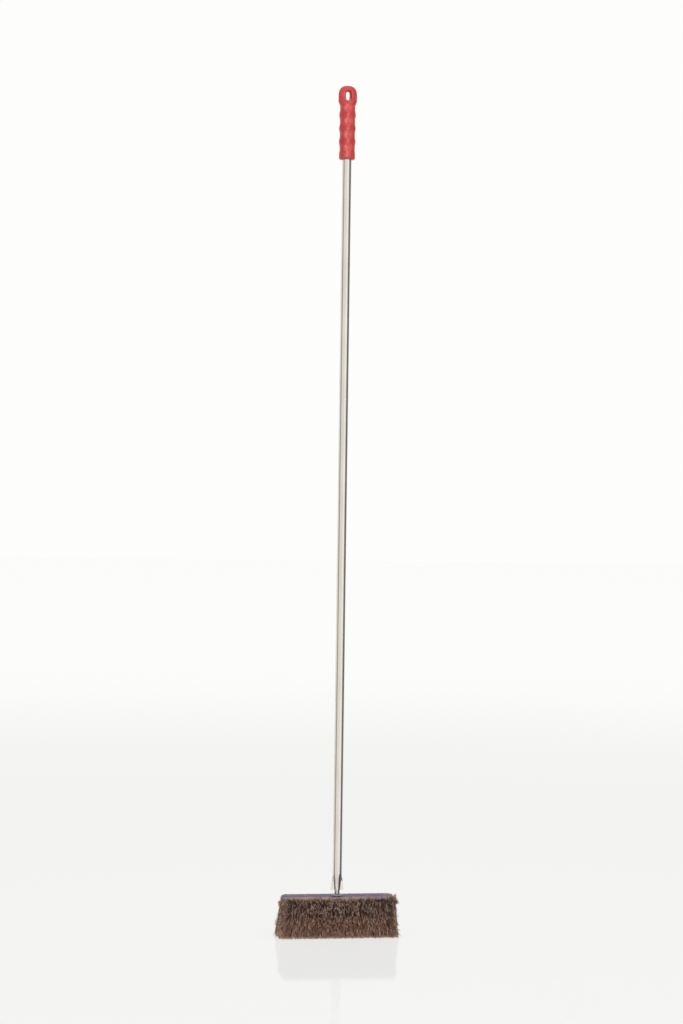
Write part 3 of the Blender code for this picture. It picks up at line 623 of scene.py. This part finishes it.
def tuft_root(across, along, rng):
    """A strand's root: a point in the nearest tuft, in the quarter at +X, +Y."""
    lane_width = ROW_WIDTH / LANES_PER_ROW
    lanes = ROWS_PER_SIDE * LANES_PER_ROW
    lane = min(int(across / lane_width), lanes - 1)
    stagger = (lane % 2) / 2
    place = (math.floor(along / TUFT_PITCH - stagger) + 0.5 + stagger) * TUFT_PITCH
    place = min(max(place, TUFT_PITCH / 2), FAN_HALF_LENGTH + FAN_RADIUS * END_STEP * ROW_END_STEPS[0])
    x = min(place, FAN_HALF_LENGTH)
    root = fan_point((lane + 0.5) * lane_width, (place - x) / FAN_RADIUS, FAN_RADIUS - ROOT_DEPTH)
    root.x += x - FAN_HALF_LENGTH
    return scattered(root, TUFT_RADIUS, rng)


def trimmed(foot, top, z):
    """How far out the trimmed fibre reaches at a height."""
    return foot + (top - foot) * z / FIBRE_TOP_Z


def corner_inset(place, edge, corner):
    """How far in a face lies near its corner, which is a quarter round seen from above."""
    into = min(max(place - edge + corner, 0.0), corner)
    return corner - math.sqrt(corner**2 - into**2)


def foot_tip(end, rng):
    """Where a clump that ends on the foot has its tip, which way it points, and its place on the board.

    The place is how far across the board's round the clump leaves it, and how far along. The other
    tip functions give the same.
    """
    x = end.foot * rng.random() - CENTRE_OVERLAP * rng.random()
    y = (TRIM_FOOT_SIDE - corner_inset(x, end.foot, FOOT_CORNER)) * rng.random() ** FOOT_EDGE_POWER
    across = FOOT_ACROSS_SHARE * y / TRIM_FOOT_SIDE * ROWS_PER_SIDE * ROW_WIDTH
    along = x / end.foot * (FAN_HALF_LENGTH + FOOT_END_SPREAD)
    z = FLOOR_CLEARANCE + RAGGED_FOOT * rng.random() ** 2
    return Vector((x, y, z)), Vector((0.0, 0.0, -1.0)), across, along


def ragged(stray_reach, rng):
    """How far out of the trimmed face a clump ends: mostly short of it, a few straying beyond."""
    if rng.random() < STRAY_SHARE:
        return stray_reach * rng.random()
    return -RAGGED_SIDE * rng.random() ** 2


def root_rise(z, rng):
    """How far up the board's round, 0 to 1, a clump that ends at a height is rooted."""
    rise = (z / FIBRE_TOP_Z) ** (1 / RISE_POWER) + rng.gauss(0.0, RISE_JITTER_SHARE)
    return min(max(rise, 0.0), 1.0)


def side_at(z, end, rng):
    """A clump that ends on the long side at a height, which falls to the end's at the corner."""
    edge = trimmed(end.foot, end.top, z)
    x = edge * rng.random() - CENTRE_OVERLAP * rng.random()
    corner = trimmed(FOOT_CORNER, TOP_CORNER, z)
    inset = corner_inset(x, edge, corner)
    z *= 1 - end.drop / FIBRE_TOP_Z * inset / corner
    across = (FOOT_ACROSS_SHARE + (1 - FOOT_ACROSS_SHARE) * root_rise(z, rng)) * ROWS_PER_SIDE * ROW_WIDTH
    along = x / end.foot * (FAN_HALF_LENGTH + SIDE_END_SPREAD)
    y = trimmed(TRIM_FOOT_SIDE, TRIM_TOP_SIDE, z) - inset + ragged(STRAY_REACH, rng)
    if z > PLATE_LOW.z - SKIRT_CLEARANCE:
        y = max(y, PLATE_HIGH.y + SKIRT_CLEARANCE)
    return Vector((x, y, z)), Vector((0.0, 1.0, 0.0)), across, along


def end_at(z, end, rng):
    """A clump that ends on the short end at a height."""
    z *= 1 - end.drop / FIBRE_TOP_Z
    y_share = rng.random()
    rise = root_rise(z, rng)
    across = y_share * (FOOT_ACROSS_SHARE + rise / 2) * ROWS_PER_SIDE * ROW_WIDTH
    end_length = FAN_RADIUS * END_STEP * ROW_END_STEPS[0]
    along = FAN_HALF_LENGTH + FOOT_END_SPREAD + (end_length - FOOT_END_SPREAD) * rise
    edge = trimmed(TRIM_FOOT_SIDE, TRIM_TOP_SIDE, z)
    y = y_share * edge
    inset = corner_inset(y, edge, trimmed(FOOT_CORNER, TOP_CORNER, z))
    x = trimmed(end.foot, end.top, z) - inset + ragged(END_STRAY_REACH, rng)
    if z > PLATE_LOW.z - SKIRT_CLEARANCE:
        x = max(x, PLATE_HIGH.x + SKIRT_CLEARANCE)
    return Vector((x, y, z)), Vector((1.0, 0.0, 0.0)), across, along


def side_tip(end, rng):
    """At any height of the long side."""
    return side_at(FIBRE_TOP_Z * rng.random(), end, rng)


def end_tip(end, rng):
    """At any height of the short end."""
    return end_at(FIBRE_TOP_Z * rng.random(), end, rng)


def fringe_height(end, rng):
    """A height in the fringe, which is denser towards its ragged top."""
    top = FIBRE_TOP_Z + end.over - FRINGE_RAGGED * rng.random() ** 2
    return FRINGE_LOW_Z + (top - FRINGE_LOW_Z) * math.sqrt(rng.random())


def side_fringe_tip(end, rng):
    """In the fringe along the long side."""
    return side_at(fringe_height(end, rng), end, rng)


def end_fringe_tip(end, rng):
    """In the fringe along the short end, where a few clumps stand up past the plate."""
    tip, outward, across, along = end_at(fringe_height(end, rng), end, rng)
    if rng.random() < STRAY_SHARE:
        tip.z += end.rise * rng.random()
    return tip, outward, across, along


def lowness(tip):
    """1 on the floor, 0 from the height up at which the fibre gets no more painted light."""
    return max(0.0, 1 - tip.z / PAINTED_LIGHT_TOP_Z)


def strand_path(root, tip, control):
    """Points along a strand, the last two at the start and the tip of its end with painted light."""
    way = (tip - root).length
    lit_length = LIT_LENGTH * (1 + LOW_LIT_LENGTH_SHARE * lowness(tip))
    shares = [*STRAND_SHARES, max(1 - lit_length / way, STRAND_SHARES[-1] + LEAST_BODY_SHARE), 1.0]
    points = []
    for share in shares:
        point = root.lerp(control, share).lerp(control.lerp(tip, share), share)
        point.y = min(point.y, TRIM_FOOT_SIDE + MOST_BULGE)
        point.z = max(point.z, FLOOR_CLEARANCE)
        points.append(point)
    return points


def curled(root, tip, outward, rng):
    """The control point of a clump's curve: out to the face, then down or up to the tip."""
    way = (tip - root).length
    if tip.z > root.z:
        control = Vector((tip.x, tip.y, root.z)) + outward * RAGGED_STRAND * rng.random()
    else:
        fall = min((root.z - tip.z) / FULL_CURL, 1.0)
        control = tip - outward * way * CURL_OUT_SHARE * rng.uniform(*CURL_OUT_SPREAD_SHARES) * fall
        control.z = min(tip.z + way * CURL_UP_SHARE, root.z)
    for axis in range(2):
        jitter = OUTWARD_JITTER_SHARE if outward[axis] else CURL_JITTER_SHARE
        control[axis] += rng.gauss(0.0, 1.0) * way * jitter
    return control


def scattered(point, reach, rng):
    """The point moved within a disc across the strands."""
    angle = rng.uniform(0.0, 2 * math.pi)
    spread = reach * math.sqrt(rng.random())
    return point + Vector((spread * math.cos(angle), spread * math.sin(angle), 0.0))


def add_strand(points, tone, hue, lit_shares, mirror, strands, rng):
    """Adds one closed tapering strand with a ring at each point, which each have a lit share."""
    first = len(strands.verts)
    axis = (points[-1] - points[0]).normalized()
    side = axis.orthogonal().normalized()
    side.rotate(Quaternion(axis, rng.uniform(0.0, 2 * math.pi)))
    turn = Quaternion(axis, 2 * math.pi / STRAND_SIDES)
    radius = STRAND_RADIUS * rng.uniform(*STRAND_RADIUS_SHARES)
    for step, point in enumerate(points):
        share = step / (len(points) - 1)
        reach = radius * (1 - (1 - STRAND_TIP_SHARE) * share)
        spoke = side.copy()
        for _ in range(STRAND_SIDES):
            corner = point + spoke * reach
            strands.verts.append((corner.x * mirror[0], corner.y * mirror[1], max(corner.z, 0.0)))
            strands.tones.append((tone, lit_shares[step], hue, 1.0))
            spoke.rotate(turn)
    faces = []
    for step in range(len(points) - 1):
        low = first + step * STRAND_SIDES
        for i in range(STRAND_SIDES):
            j = (i + 1) % STRAND_SIDES
            faces.append((low + i, low + j, low + STRAND_SIDES + j, low + STRAND_SIDES + i))
    last = first + (len(points) - 1) * STRAND_SIDES
    faces.append(tuple(last + i for i in range(STRAND_SIDES)))
    faces.append(tuple(first + i for i in reversed(range(STRAND_SIDES))))
    inside_out = mirror[0] * mirror[1] < 0
    strands.faces.extend([face[::-1] for face in faces] if inside_out else faces)


def clump_tone(tip, rng):
    """0 for the darkest fibre to 1 for the palest; paler near the foot with painted light, darker by the
    skirt with painted shade.
    """
    share = FRINGE_PAINTED_SHADE_SHARE if tip.z > PLATE_LOW.z - SKIRT_CLEARANCE else 1.0
    return rng.gauss((TONE_MEAN_SHARE + LOW_PAINTED_LIGHT_SHARE * lowness(tip)) * share, TONE_SPREAD_SHARE)


def add_clump(place, end, mirror, strands, rng):
    """Adds the strands of one clump whose tip a place function gives."""
    tip, outward, across, along = place(end, rng)
    root = tuft_root(across, along, rng)
    control = curled(root, tip, outward, rng)
    tone = clump_tone(tip, rng)
    # Nearer the floor a clump gets a warmer hue and more painted light along its end
    hue = min(rng.random() + LOW_WARM_SHARE * lowness(tip), 1.0)
    lit_shares = (0.0, 0.0, LOW_LIT_SHARE * lowness(tip), 1.0)
    highest = max(tip.z, FIBRE_TOP_Z + end.over + TIP_OVER)
    for _ in range(STRANDS_PER_CLUMP):
        stop = scattered(tip, CLUMP_SPREAD, rng)
        if place is foot_tip:
            stop.z += RAGGED_FOOT * rng.random() ** 2
        else:
            stop.z += RAGGED_STRAND * rng.gauss(0.0, 1.0)
        stop.z = min(max(stop.z, FLOOR_CLEARANCE), highest)
        points = strand_path(scattered(root, TUFT_RADIUS, rng), stop, control)
        shade = min(max(tone + rng.gauss(0.0, STRAND_TONE_SHARE), 0.0), 1.0)
        add_strand(points, shade, hue, lit_shares, mirror, strands, rng)


def make_fibre(side, sign_y):
    """The fibre of the front or back half, in place of its four rows of thick strands."""
    rng = random.Random(SEED + sign_y)
    strands = Strands([], [], [])
    fringe = FIBRE_TOP_Z - FRINGE_LOW_Z
    for sign_x, values in ENDS.items():
        end = values._replace(over=FRINGE_OVERS[side])
        kinds = (
            (foot_tip, FOOT_DENSITY * end.foot * TRIM_FOOT_SIDE),
            (side_tip, SIDE_DENSITY * end.foot * FIBRE_TOP_Z),
            (end_tip, SIDE_DENSITY * TRIM_FOOT_SIDE * FIBRE_TOP_Z),
            (side_fringe_tip, FRINGE_DENSITY * end.top * fringe),
            (end_fringe_tip, FRINGE_DENSITY * TRIM_TOP_SIDE * fringe),
        )
        for place, count in kinds:
            for _ in range(round(count)):
                add_clump(place, end, (sign_x, sign_y), strands, rng)
    mesh = bpy.data.meshes.new(f"fibre_{side}")
    mesh.from_pydata(strands.verts, [], strands.faces)
    layer = mesh.color_attributes.new("strand", "FLOAT_COLOR", "POINT")
    layer.data.foreach_set("color", [value for tone in strands.tones for value in tone])
    mesh.shade_smooth()
    mesh.materials.append(MATERIALS["fibre"])
    made = new_object(mesh.name, mesh)
    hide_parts(*[f"bristle_row_{side}_{row + 1}" for row in range(ROWS_PER_SIDE)])
    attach(made, "head")


# Stud and screws


def thread_radius(angle, z):
    """A right-hand thread with a chamfered start."""
    phase = (z / THREAD_PITCH - angle / (2 * math.pi)) % 1.0
    valley = 1 - abs(2 * phase - 1)
    start = THREAD_RADIUS - STUD_CHAMFER + (z - STUD_LOW.z)
    return min(THREAD_RADIUS - THREAD_DEPTH * valley, start)


def make_stud():
    """The stud with its thread cut, in place of the plain one."""
    neck_foot = WASHER_HIGH.z + SEAT_GAP
    neck_top = TUBE_LOW.z - SEAT_GAP
    thread_top = neck_foot - RELIEF_HEIGHT - STUD_CHAMFER
    count = round((thread_top - STUD_LOW.z) / THREAD_PITCH * STEPS_PER_PITCH)
    rings = []
    for step in range(count + 1):
        z = STUD_LOW.z + (thread_top - STUD_LOW.z) * step / count
        rings.append(ring_at(lambda angle: thread_radius(angle, z), z, STUD_SIDES))
    for radius, z in (
        (RELIEF_RADIUS, neck_foot - RELIEF_HEIGHT),
        (RELIEF_RADIUS, neck_foot),
        (NECK_RADIUS - NECK_CHAMFER, neck_foot),
        (NECK_RADIUS, neck_foot + NECK_CHAMFER),
        (NECK_RADIUS, neck_top - NECK_CHAMFER),
        (NECK_RADIUS - NECK_CHAMFER, neck_top),
        (STEM_RADIUS, neck_top),
        (STEM_RADIUS, STUD_HIGH.z - STUD_CHAMFER),
        (STEM_RADIUS - STUD_CHAMFER, STUD_HIGH.z),
    ):
        rings.append(ring_at(radius, z, STUD_SIDES))
    made = piece("stud_threaded", bridged(rings), MATERIALS["fastener"])
    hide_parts("threaded_stud")
    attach(made, "handle")


def recess_ring(x, z, share):
    """The outline of a cross recess, shrunk by a share."""
    long, short = RECESS_REACH * share, RECESS_HALF_WIDTH * share
    points = []
    for turn in range(4):
        for along, across in ((long, -short), (long, short), (short, short)):
            for _ in range(turn):
                along, across = -across, along
            points.append(Vector((x + along, across, z)))
    return points


def cut(made, cutter):
    """Cuts one object out of another for good."""
    step = made.modifiers.new("cut", "BOOLEAN")
    step.operation = "DIFFERENCE"
    step.object = cutter
    graph = bpy.context.evaluated_depsgraph_get()
    mesh = bpy.data.meshes.new_from_object(made.evaluated_get(graph))
    made.modifiers.clear()
    made.data = mesh
    bpy.data.objects.remove(cutter)
    smooth(mesh)


def make_screw(number):
    """A countersunk screw with a cross recess."""
    low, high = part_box(f"cover_screw_{number}")
    x = (low.x + high.x) / 2
    cone_foot = high.z - SCREW_HEAD_RIM - (SCREW_HEAD_RADIUS - SCREW_SHANK_RADIUS)
    rings = []
    for radius, z in (
        (SCREW_SHANK_RADIUS * SCREW_TIP_SHARE, low.z),
        (SCREW_SHANK_RADIUS, low.z + SCREW_POINT),
        (SCREW_SHANK_RADIUS, cone_foot),
        (SCREW_HEAD_RADIUS, high.z - SCREW_HEAD_RIM),
        (SCREW_HEAD_RADIUS, high.z),
    ):
        rings.append([point + Vector((x, 0.0, 0.0)) for point in ring_at(radius, z, SCREW_SIDES)])
    made = piece(f"screw_{number}", bridged(rings), MATERIALS["screw"])
    # The cutter runs as far over the head as into it, and widens as much
    recess = [
        recess_ring(x, high.z - RECESS_DEPTH, RECESS_FOOT_SHARE),
        recess_ring(x, high.z + RECESS_DEPTH, 2 - RECESS_FOOT_SHARE),
    ]
    cut(made, piece("recess_cutter", bridged(recess), MATERIALS["screw"]))
    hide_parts(f"cover_screw_{number}")
    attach(made, "head")


# Handle tube


def smooth_step(share):
    """From 0 to 1 with a level start and end."""
    share = min(max(share, 0.0), 1.0)
    return share * share * (3 - 2 * share)


def pressed_point(angle, pressed):
    """(x, y) on the foot's outside: a flat wing near the X axis, then round over the middle."""
    turn = abs(math.remainder(angle, math.pi))
    root = TUBE_RADIUS + (WING_ROOT - TUBE_RADIUS) * pressed
    if turn < WING_TURN:
        tip = TUBE_RADIUS + (TUBE_HIGH.x - TUBE_RADIUS) * pressed
        x = tip + (root - tip) * (turn / WING_TURN) ** 2
        y = WING_HALF_THICKNESS if turn > 0 else 0.0
    else:
        round_turn = math.pi / 2 * (turn - WING_TURN) / (math.pi / 2 - WING_TURN)
        x = root * math.cos(round_turn)
        pressed_radius = PRESSED_BORE_RADIUS + TUBE_WALL
        rise = TUBE_RADIUS + (pressed_radius - TUBE_RADIUS) * pressed - WING_HALF_THICKNESS
        y = WING_HALF_THICKNESS + rise * math.sin(round_turn) ** WING_BLEND
    return math.copysign(x, math.cos(angle)), math.copysign(y, math.sin(angle))


def tube_ring(z, pressed):
    """The tube's outside at a height: a circle, pressed by a share."""
    ring = []
    flat = smooth_step(pressed / PRESS_START_SHARE)
    for point in ring_at(TUBE_RADIUS, z, TUBE_SIDES):
        wing_x, wing_y = pressed_point(math.atan2(point.y, point.x), pressed)
        ring.append(point.lerp(Vector((wing_x, wing_y, z)), flat))
    return ring


def make_tube():
    """The tube with a smoother skin than the solid's."""
    stations = [(TUBE_LOW.z, 1.0), (TUBE_LOW.z + PRESS_FLAT, 1.0)]
    for step in range(1, PRESS_STEPS + 1):
        share = step / PRESS_STEPS
        stations.append((TUBE_LOW.z + PRESS_FLAT + PRESS_LENGTH * share, 1 - share))
    stations.append((TUBE_HIGH.z, 0.0))
    outer = [tube_ring(z, pressed) for z, pressed in stations]
    bore = TUBE_RADIUS - TUBE_WALL
    inner = []
    for z, pressed in stations:
        inner.append(ring_at(bore + (PRESSED_BORE_RADIUS - bore) * math.sqrt(pressed), z, TUBE_SIDES))
    made = piece("tube", bridged(outer + inner[::-1], around=True), MATERIALS["tube"])
    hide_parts("handle_tube")
    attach(made, "handle")


# Grip


def body_radius(angle, z):
    """The grip's radius below its eye: hand bumps in columns, every other column half a pitch on."""
    wave = math.cos(2 * math.pi * (z - COLLAR_Z) / BUMP_PITCH)
    fade = smooth_step((z - COLLAR_Z) / (BUMP_PITCH / 2))
    bumps = GRIP_RADIUS + GRIP_BUMP * wave * math.cos(BUMP_COLUMNS * angle)
    collar = (COLLAR_RADIUS + WAIST_RADIUS) / 2 + (COLLAR_RADIUS - WAIST_RADIUS) / 2 * wave
    return collar + (bumps - collar) * fade


def oval_ring(z, half_x, half_y):
    """A ring of the grip's head."""
    ring = ring_at(1.0, z, GRIP_SIDES)
    for point in ring:
        point.x *= half_x
        point.y *= half_y
    return ring


def eye_rings():
    """The grip's head: widened and flattened from the body's top, then rounded over."""
    rings = []
    for step in range(1, EYE_RINGS + 1):
        share = step / EYE_RINGS
        z = BODY_TOP_Z + (EYE_Z - BODY_TOP_Z) * share
        half_x = GRIP_RADIUS + (GRIP_HIGH.x - GRIP_RADIUS) * smooth_step(share * 2)
        half_y = GRIP_RADIUS + (EYE_HALF_THICKNESS - GRIP_RADIUS) * smooth_step(share)
        rings.append(oval_ring(z, half_x, half_y))
    for step in range(1, EYE_RINGS):
        angle = math.pi / 2 * step / EYE_RINGS
        z = EYE_Z + (GRIP_HIGH.z - EYE_Z) * math.sin(angle) ** (2 / EYE_ROUNDNESS)
        width = math.cos(angle) ** (2 / EYE_ROUNDNESS)
        if width > EYE_CROWN_SHARE:
            rings.append(oval_ring(z, GRIP_HIGH.x * width, EYE_HALF_THICKNESS * width))
    crown = GRIP_HIGH.x * EYE_CROWN_SHARE, EYE_HALF_THICKNESS * EYE_CROWN_SHARE
    rings.append(oval_ring(GRIP_HIGH.z, *crown))
    return rings


def slot_outline(spread, y):
    """The hanging slot's outline, widened all round by a spread, at a depth."""
    half_width = SLOT_WIDTH / 2 + spread
    half_height = SLOT_HEIGHT / 2 + spread
    points = []
    for sign in (1, -1):
        for step in range(SLOT_STEPS + 1):
            angle = math.pi * step / SLOT_STEPS
            x = sign * half_width * math.cos(angle)
            z = SLOT_Z + sign * (half_height - half_width + half_width * math.sin(angle))
            points.append(Vector((x, y, z)))
    return points


def make_grip():
    """The grip with a smoother skin than the solid's."""
    rings = []
    for step in range(FOOT_RINGS + 1):
        angle = math.pi / 2 * step / FOOT_RINGS
        radius = COLLAR_RADIUS - FOOT_ROUND * (1 - math.sin(angle))
        rings.append(ring_at(radius, GRIP_LOW.z + FOOT_ROUND * (1 - math.cos(angle)), GRIP_SIDES))
    count = round((BODY_TOP_Z - COLLAR_Z) / BUMP_PITCH * RINGS_PER_BUMP)
    for step in range(count + 1):
        z = COLLAR_Z + (BODY_TOP_Z - COLLAR_Z) * step / count
        rings.append(ring_at(lambda angle: body_radius(angle, z), z, GRIP_SIDES))
    made = piece("grip_moulding", bridged(rings + eye_rings()), MATERIALS["plastic"])
    socket = [
        ring_at(SOCKET_RADIUS, GRIP_LOW.z - OVERRUN, TUBE_SIDES),
        ring_at(SOCKET_RADIUS, SOCKET_TOP_Z, TUBE_SIDES),
    ]
    cut(made, piece("socket_cutter", bridged(socket), MATERIALS["plastic"]))
    land = SLOT_LAND / 2
    far = GRIP_RADIUS + OVERRUN
    spread = SLOT_FLARE * (far - land) / (EYE_HALF_THICKNESS - land)
    slot = [slot_outline(*end) for end in ((spread, -far), (0.0, -land), (0.0, land), (spread, far))]
    cut(made, piece("slot_cutter", bridged(slot), MATERIALS["plastic"]))
    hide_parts("grip")
    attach(made, "handle")
    return made


# Light, floor and camera


def seen_rays(tree):
    """1 for the rays that should find the pale background: camera, glossy and transmission."""
    path = tree.nodes.new("ShaderNodeLightPath")
    found = path.outputs["Is Camera Ray"]
    for name in ("Is Glossy Ray", "Is Transmission Ray"):
        larger = tree.nodes.new("ShaderNodeMath")
        larger.operation = "MAXIMUM"
        tree.links.new(found, larger.inputs[0])
        tree.links.new(path.outputs[name], larger.inputs[1])
        found = larger.outputs["Value"]
    return found


def make_world():
    """White light all round, and the pale background behind it."""
    world = bpy.data.worlds.new("studio")
    bpy.context.scene.world = world
    world.use_nodes = True
    tree = world.node_tree
    tree.nodes.clear()
    light = tree.nodes.new("ShaderNodeBackground")
    light.inputs["Color"].default_value = opaque(WHITE)
    light.inputs["Strength"].default_value = WORLD_LIGHT
    pale = tree.nodes.new("ShaderNodeBackground")
    pale.inputs["Color"].default_value = opaque(BACKGROUND)
    mix = tree.nodes.new("ShaderNodeMixShader")
    tree.links.new(seen_rays(tree), mix.inputs["Fac"])
    tree.links.new(light.outputs["Background"], mix.inputs[1])
    tree.links.new(pale.outputs["Background"], mix.inputs[2])
    out = tree.nodes.new("ShaderNodeOutputWorld")
    tree.links.new(mix.outputs["Shader"], out.inputs["Surface"])


def level_square(size, height):
    """A bmesh of one square about Z."""
    bm = bmesh.new()
    bmesh.ops.create_grid(bm, x_segments=1, y_segments=1, size=size / 2)
    bmesh.ops.translate(bm, verts=bm.verts[:], vec=Vector((0.0, 0.0, height)))
    return bm


def make_floor():
    """A pale floor with a faint mirror in it, brighter away from the brush."""
    shader = Shader("floor_pale")
    away = shader.add("ShaderNodeVectorMath", operation="LENGTH")
    shader.link(shader.place, away.inputs[0])
    levels = {
        "From Min": FLOOR_NEAR,
        "From Max": FLOOR_FAR,
        "To Min": FLOOR_GLOW_NEAR,
        "To Max": FLOOR_GLOW_FAR,
    }
    brighter = shader.add("ShaderNodeMapRange", levels, interpolation_type="SMOOTHSTEP")
    shader.link(away.outputs["Value"], brighter.inputs["Value"])
    glow = shader.add("ShaderNodeEmission", {"Color": opaque(FLOOR_COLOUR)})
    shader.link(brighter.outputs["Result"], glow.inputs["Strength"])
    mirror = {"Color": grey(FLOOR_GLOSS), "Roughness": FLOOR_ROUGHNESS}
    gloss = shader.surface("ShaderNodeBsdfGlossy", mirror)
    shade = shader.surface("ShaderNodeBsdfDiffuse", {"Color": grey(FLOOR_SHADE)})
    seen = shader.summed(glow.outputs["Emission"], shader.summed(gloss, shade))
    unseen = shader.surface("ShaderNodeBsdfDiffuse", {"Color": grey(FLOOR_BOUNCE)})
    shader.show(shader.chosen(seen_rays(shader.tree), unseen, seen))
    floor = piece("floor", level_square(FLOOR_SIZE, 0.0), shader.material)


def leave_to_mirrors(obj):
    """Hides an object from all rays but glossy ones."""
    obj.visible_camera = False
    obj.visible_diffuse = False
    obj.visible_shadow = False
    obj.visible_transmission = False


def make_cover():
    """A clear sheet just over the floor: light that the floor mirrors has passed it, other light hasn't."""
    shader = Shader("cover_clear")
    shader.show(shader.surface("ShaderNodeBsdfTransparent"))
    cover = piece("floor_cover", level_square(COVER_SIZE, COVER_HEIGHT), shader.material)
    leave_to_mirrors(cover)


def make_lamp(name, lamp):
    """A soft rectangular lamp that no surface mirrors."""
    light = bpy.data.lights.new(name, "AREA")
    light.shape = "RECTANGLE"
    light.size, light.size_y = lamp.size
    light.energy = lamp.power
    made = new_object(name, light)
    made.location = lamp.place
    made.rotation_mode = "QUATERNION"
    made.rotation_quaternion = (Vector(lamp.target) - made.location).to_track_quat("-Z", "Y")
    made.visible_glossy = False


def make_panel(name, seen, only_for=None):
    """A panel that only glossy surfaces see, as round a product photographer's table.

    It is clear to light that has passed the sheet over the floor, so the floor doesn't mirror it.
    One that is only for a piece adds its light to what that piece mirrors behind it.
    """
    distance, foot, top = seen.stand
    corners = []
    for angle, heights in ((seen.low_angle, (foot, top)), (seen.high_angle, (top, foot))):
        turn = math.radians(angle) - CAMERA_YAW
        corners += [(math.sin(turn) * distance, -math.cos(turn) * distance, z) for z in heights]
    mesh = bpy.data.meshes.new(name)
    mesh.from_pydata(corners, [], [(0, 1, 2, 3)])
    shader = Shader(name)
    clear = shader.surface("ShaderNodeBsdfTransparent")
    lit = shader.surface("ShaderNodeEmission", {"Color": opaque(seen.tone)})
    if only_for:
        lit = shader.summed(lit, clear)
    path = shader.add("ShaderNodeLightPath")
    shader.show(shader.chosen(path.outputs["Transparent Depth"], lit, clear))
    mesh.materials.append(shader.material)
    panel = new_object(name, mesh)
    leave_to_mirrors(panel)
    if only_for:
        receivers = bpy.data.collections.new(f"{name}_receivers")
        receivers.objects.link(only_for)
        panel.light_linking.receiver_collection = receivers


def make_camera():
    """The photograph's camera: level, round to the left and slightly rolled."""
    data = bpy.data.cameras.new("photo_camera")
    data.sensor_width = SENSOR
    data.lens = LENS
    data.clip_end = CAMERA_CLIP
    camera = new_object("photo_camera", data)
    out = Vector((-math.sin(CAMERA_YAW), -math.cos(CAMERA_YAW), 0.0))
    right = Vector((math.cos(CAMERA_YAW), -math.sin(CAMERA_YAW), 0.0))
    camera.location = out * CAMERA_DISTANCE + right * CAMERA_SIDE + Vector((0.0, 0.0, CAMERA_HEIGHT))
    camera.rotation_mode = "QUATERNION"
    roll = Quaternion((0.0, 0.0, 1.0), CAMERA_ROLL)
    camera.rotation_quaternion = (-out).to_track_quat("-Z", "Y") @ roll
    bpy.context.scene.camera = camera


make_camera()
make_world()
make_floor()
make_cover()
for name, lamp in LAMPS.items():
    make_lamp(name, lamp)
for name, panel in PANELS.items():
    make_panel(name, panel)

finish_cad_nodes()
make_row_slices()
for side, sign_y in HALVES.items():
    make_fibre(side, sign_y)
make_stud()
make_tube()
make_panel("panel_grip_light", GRIP_PANEL, only_for=make_grip())
for number in range(1, SCREW_COUNT + 1):
    make_screw(number)

bpy.context.scene.view_settings.view_transform = "Standard"
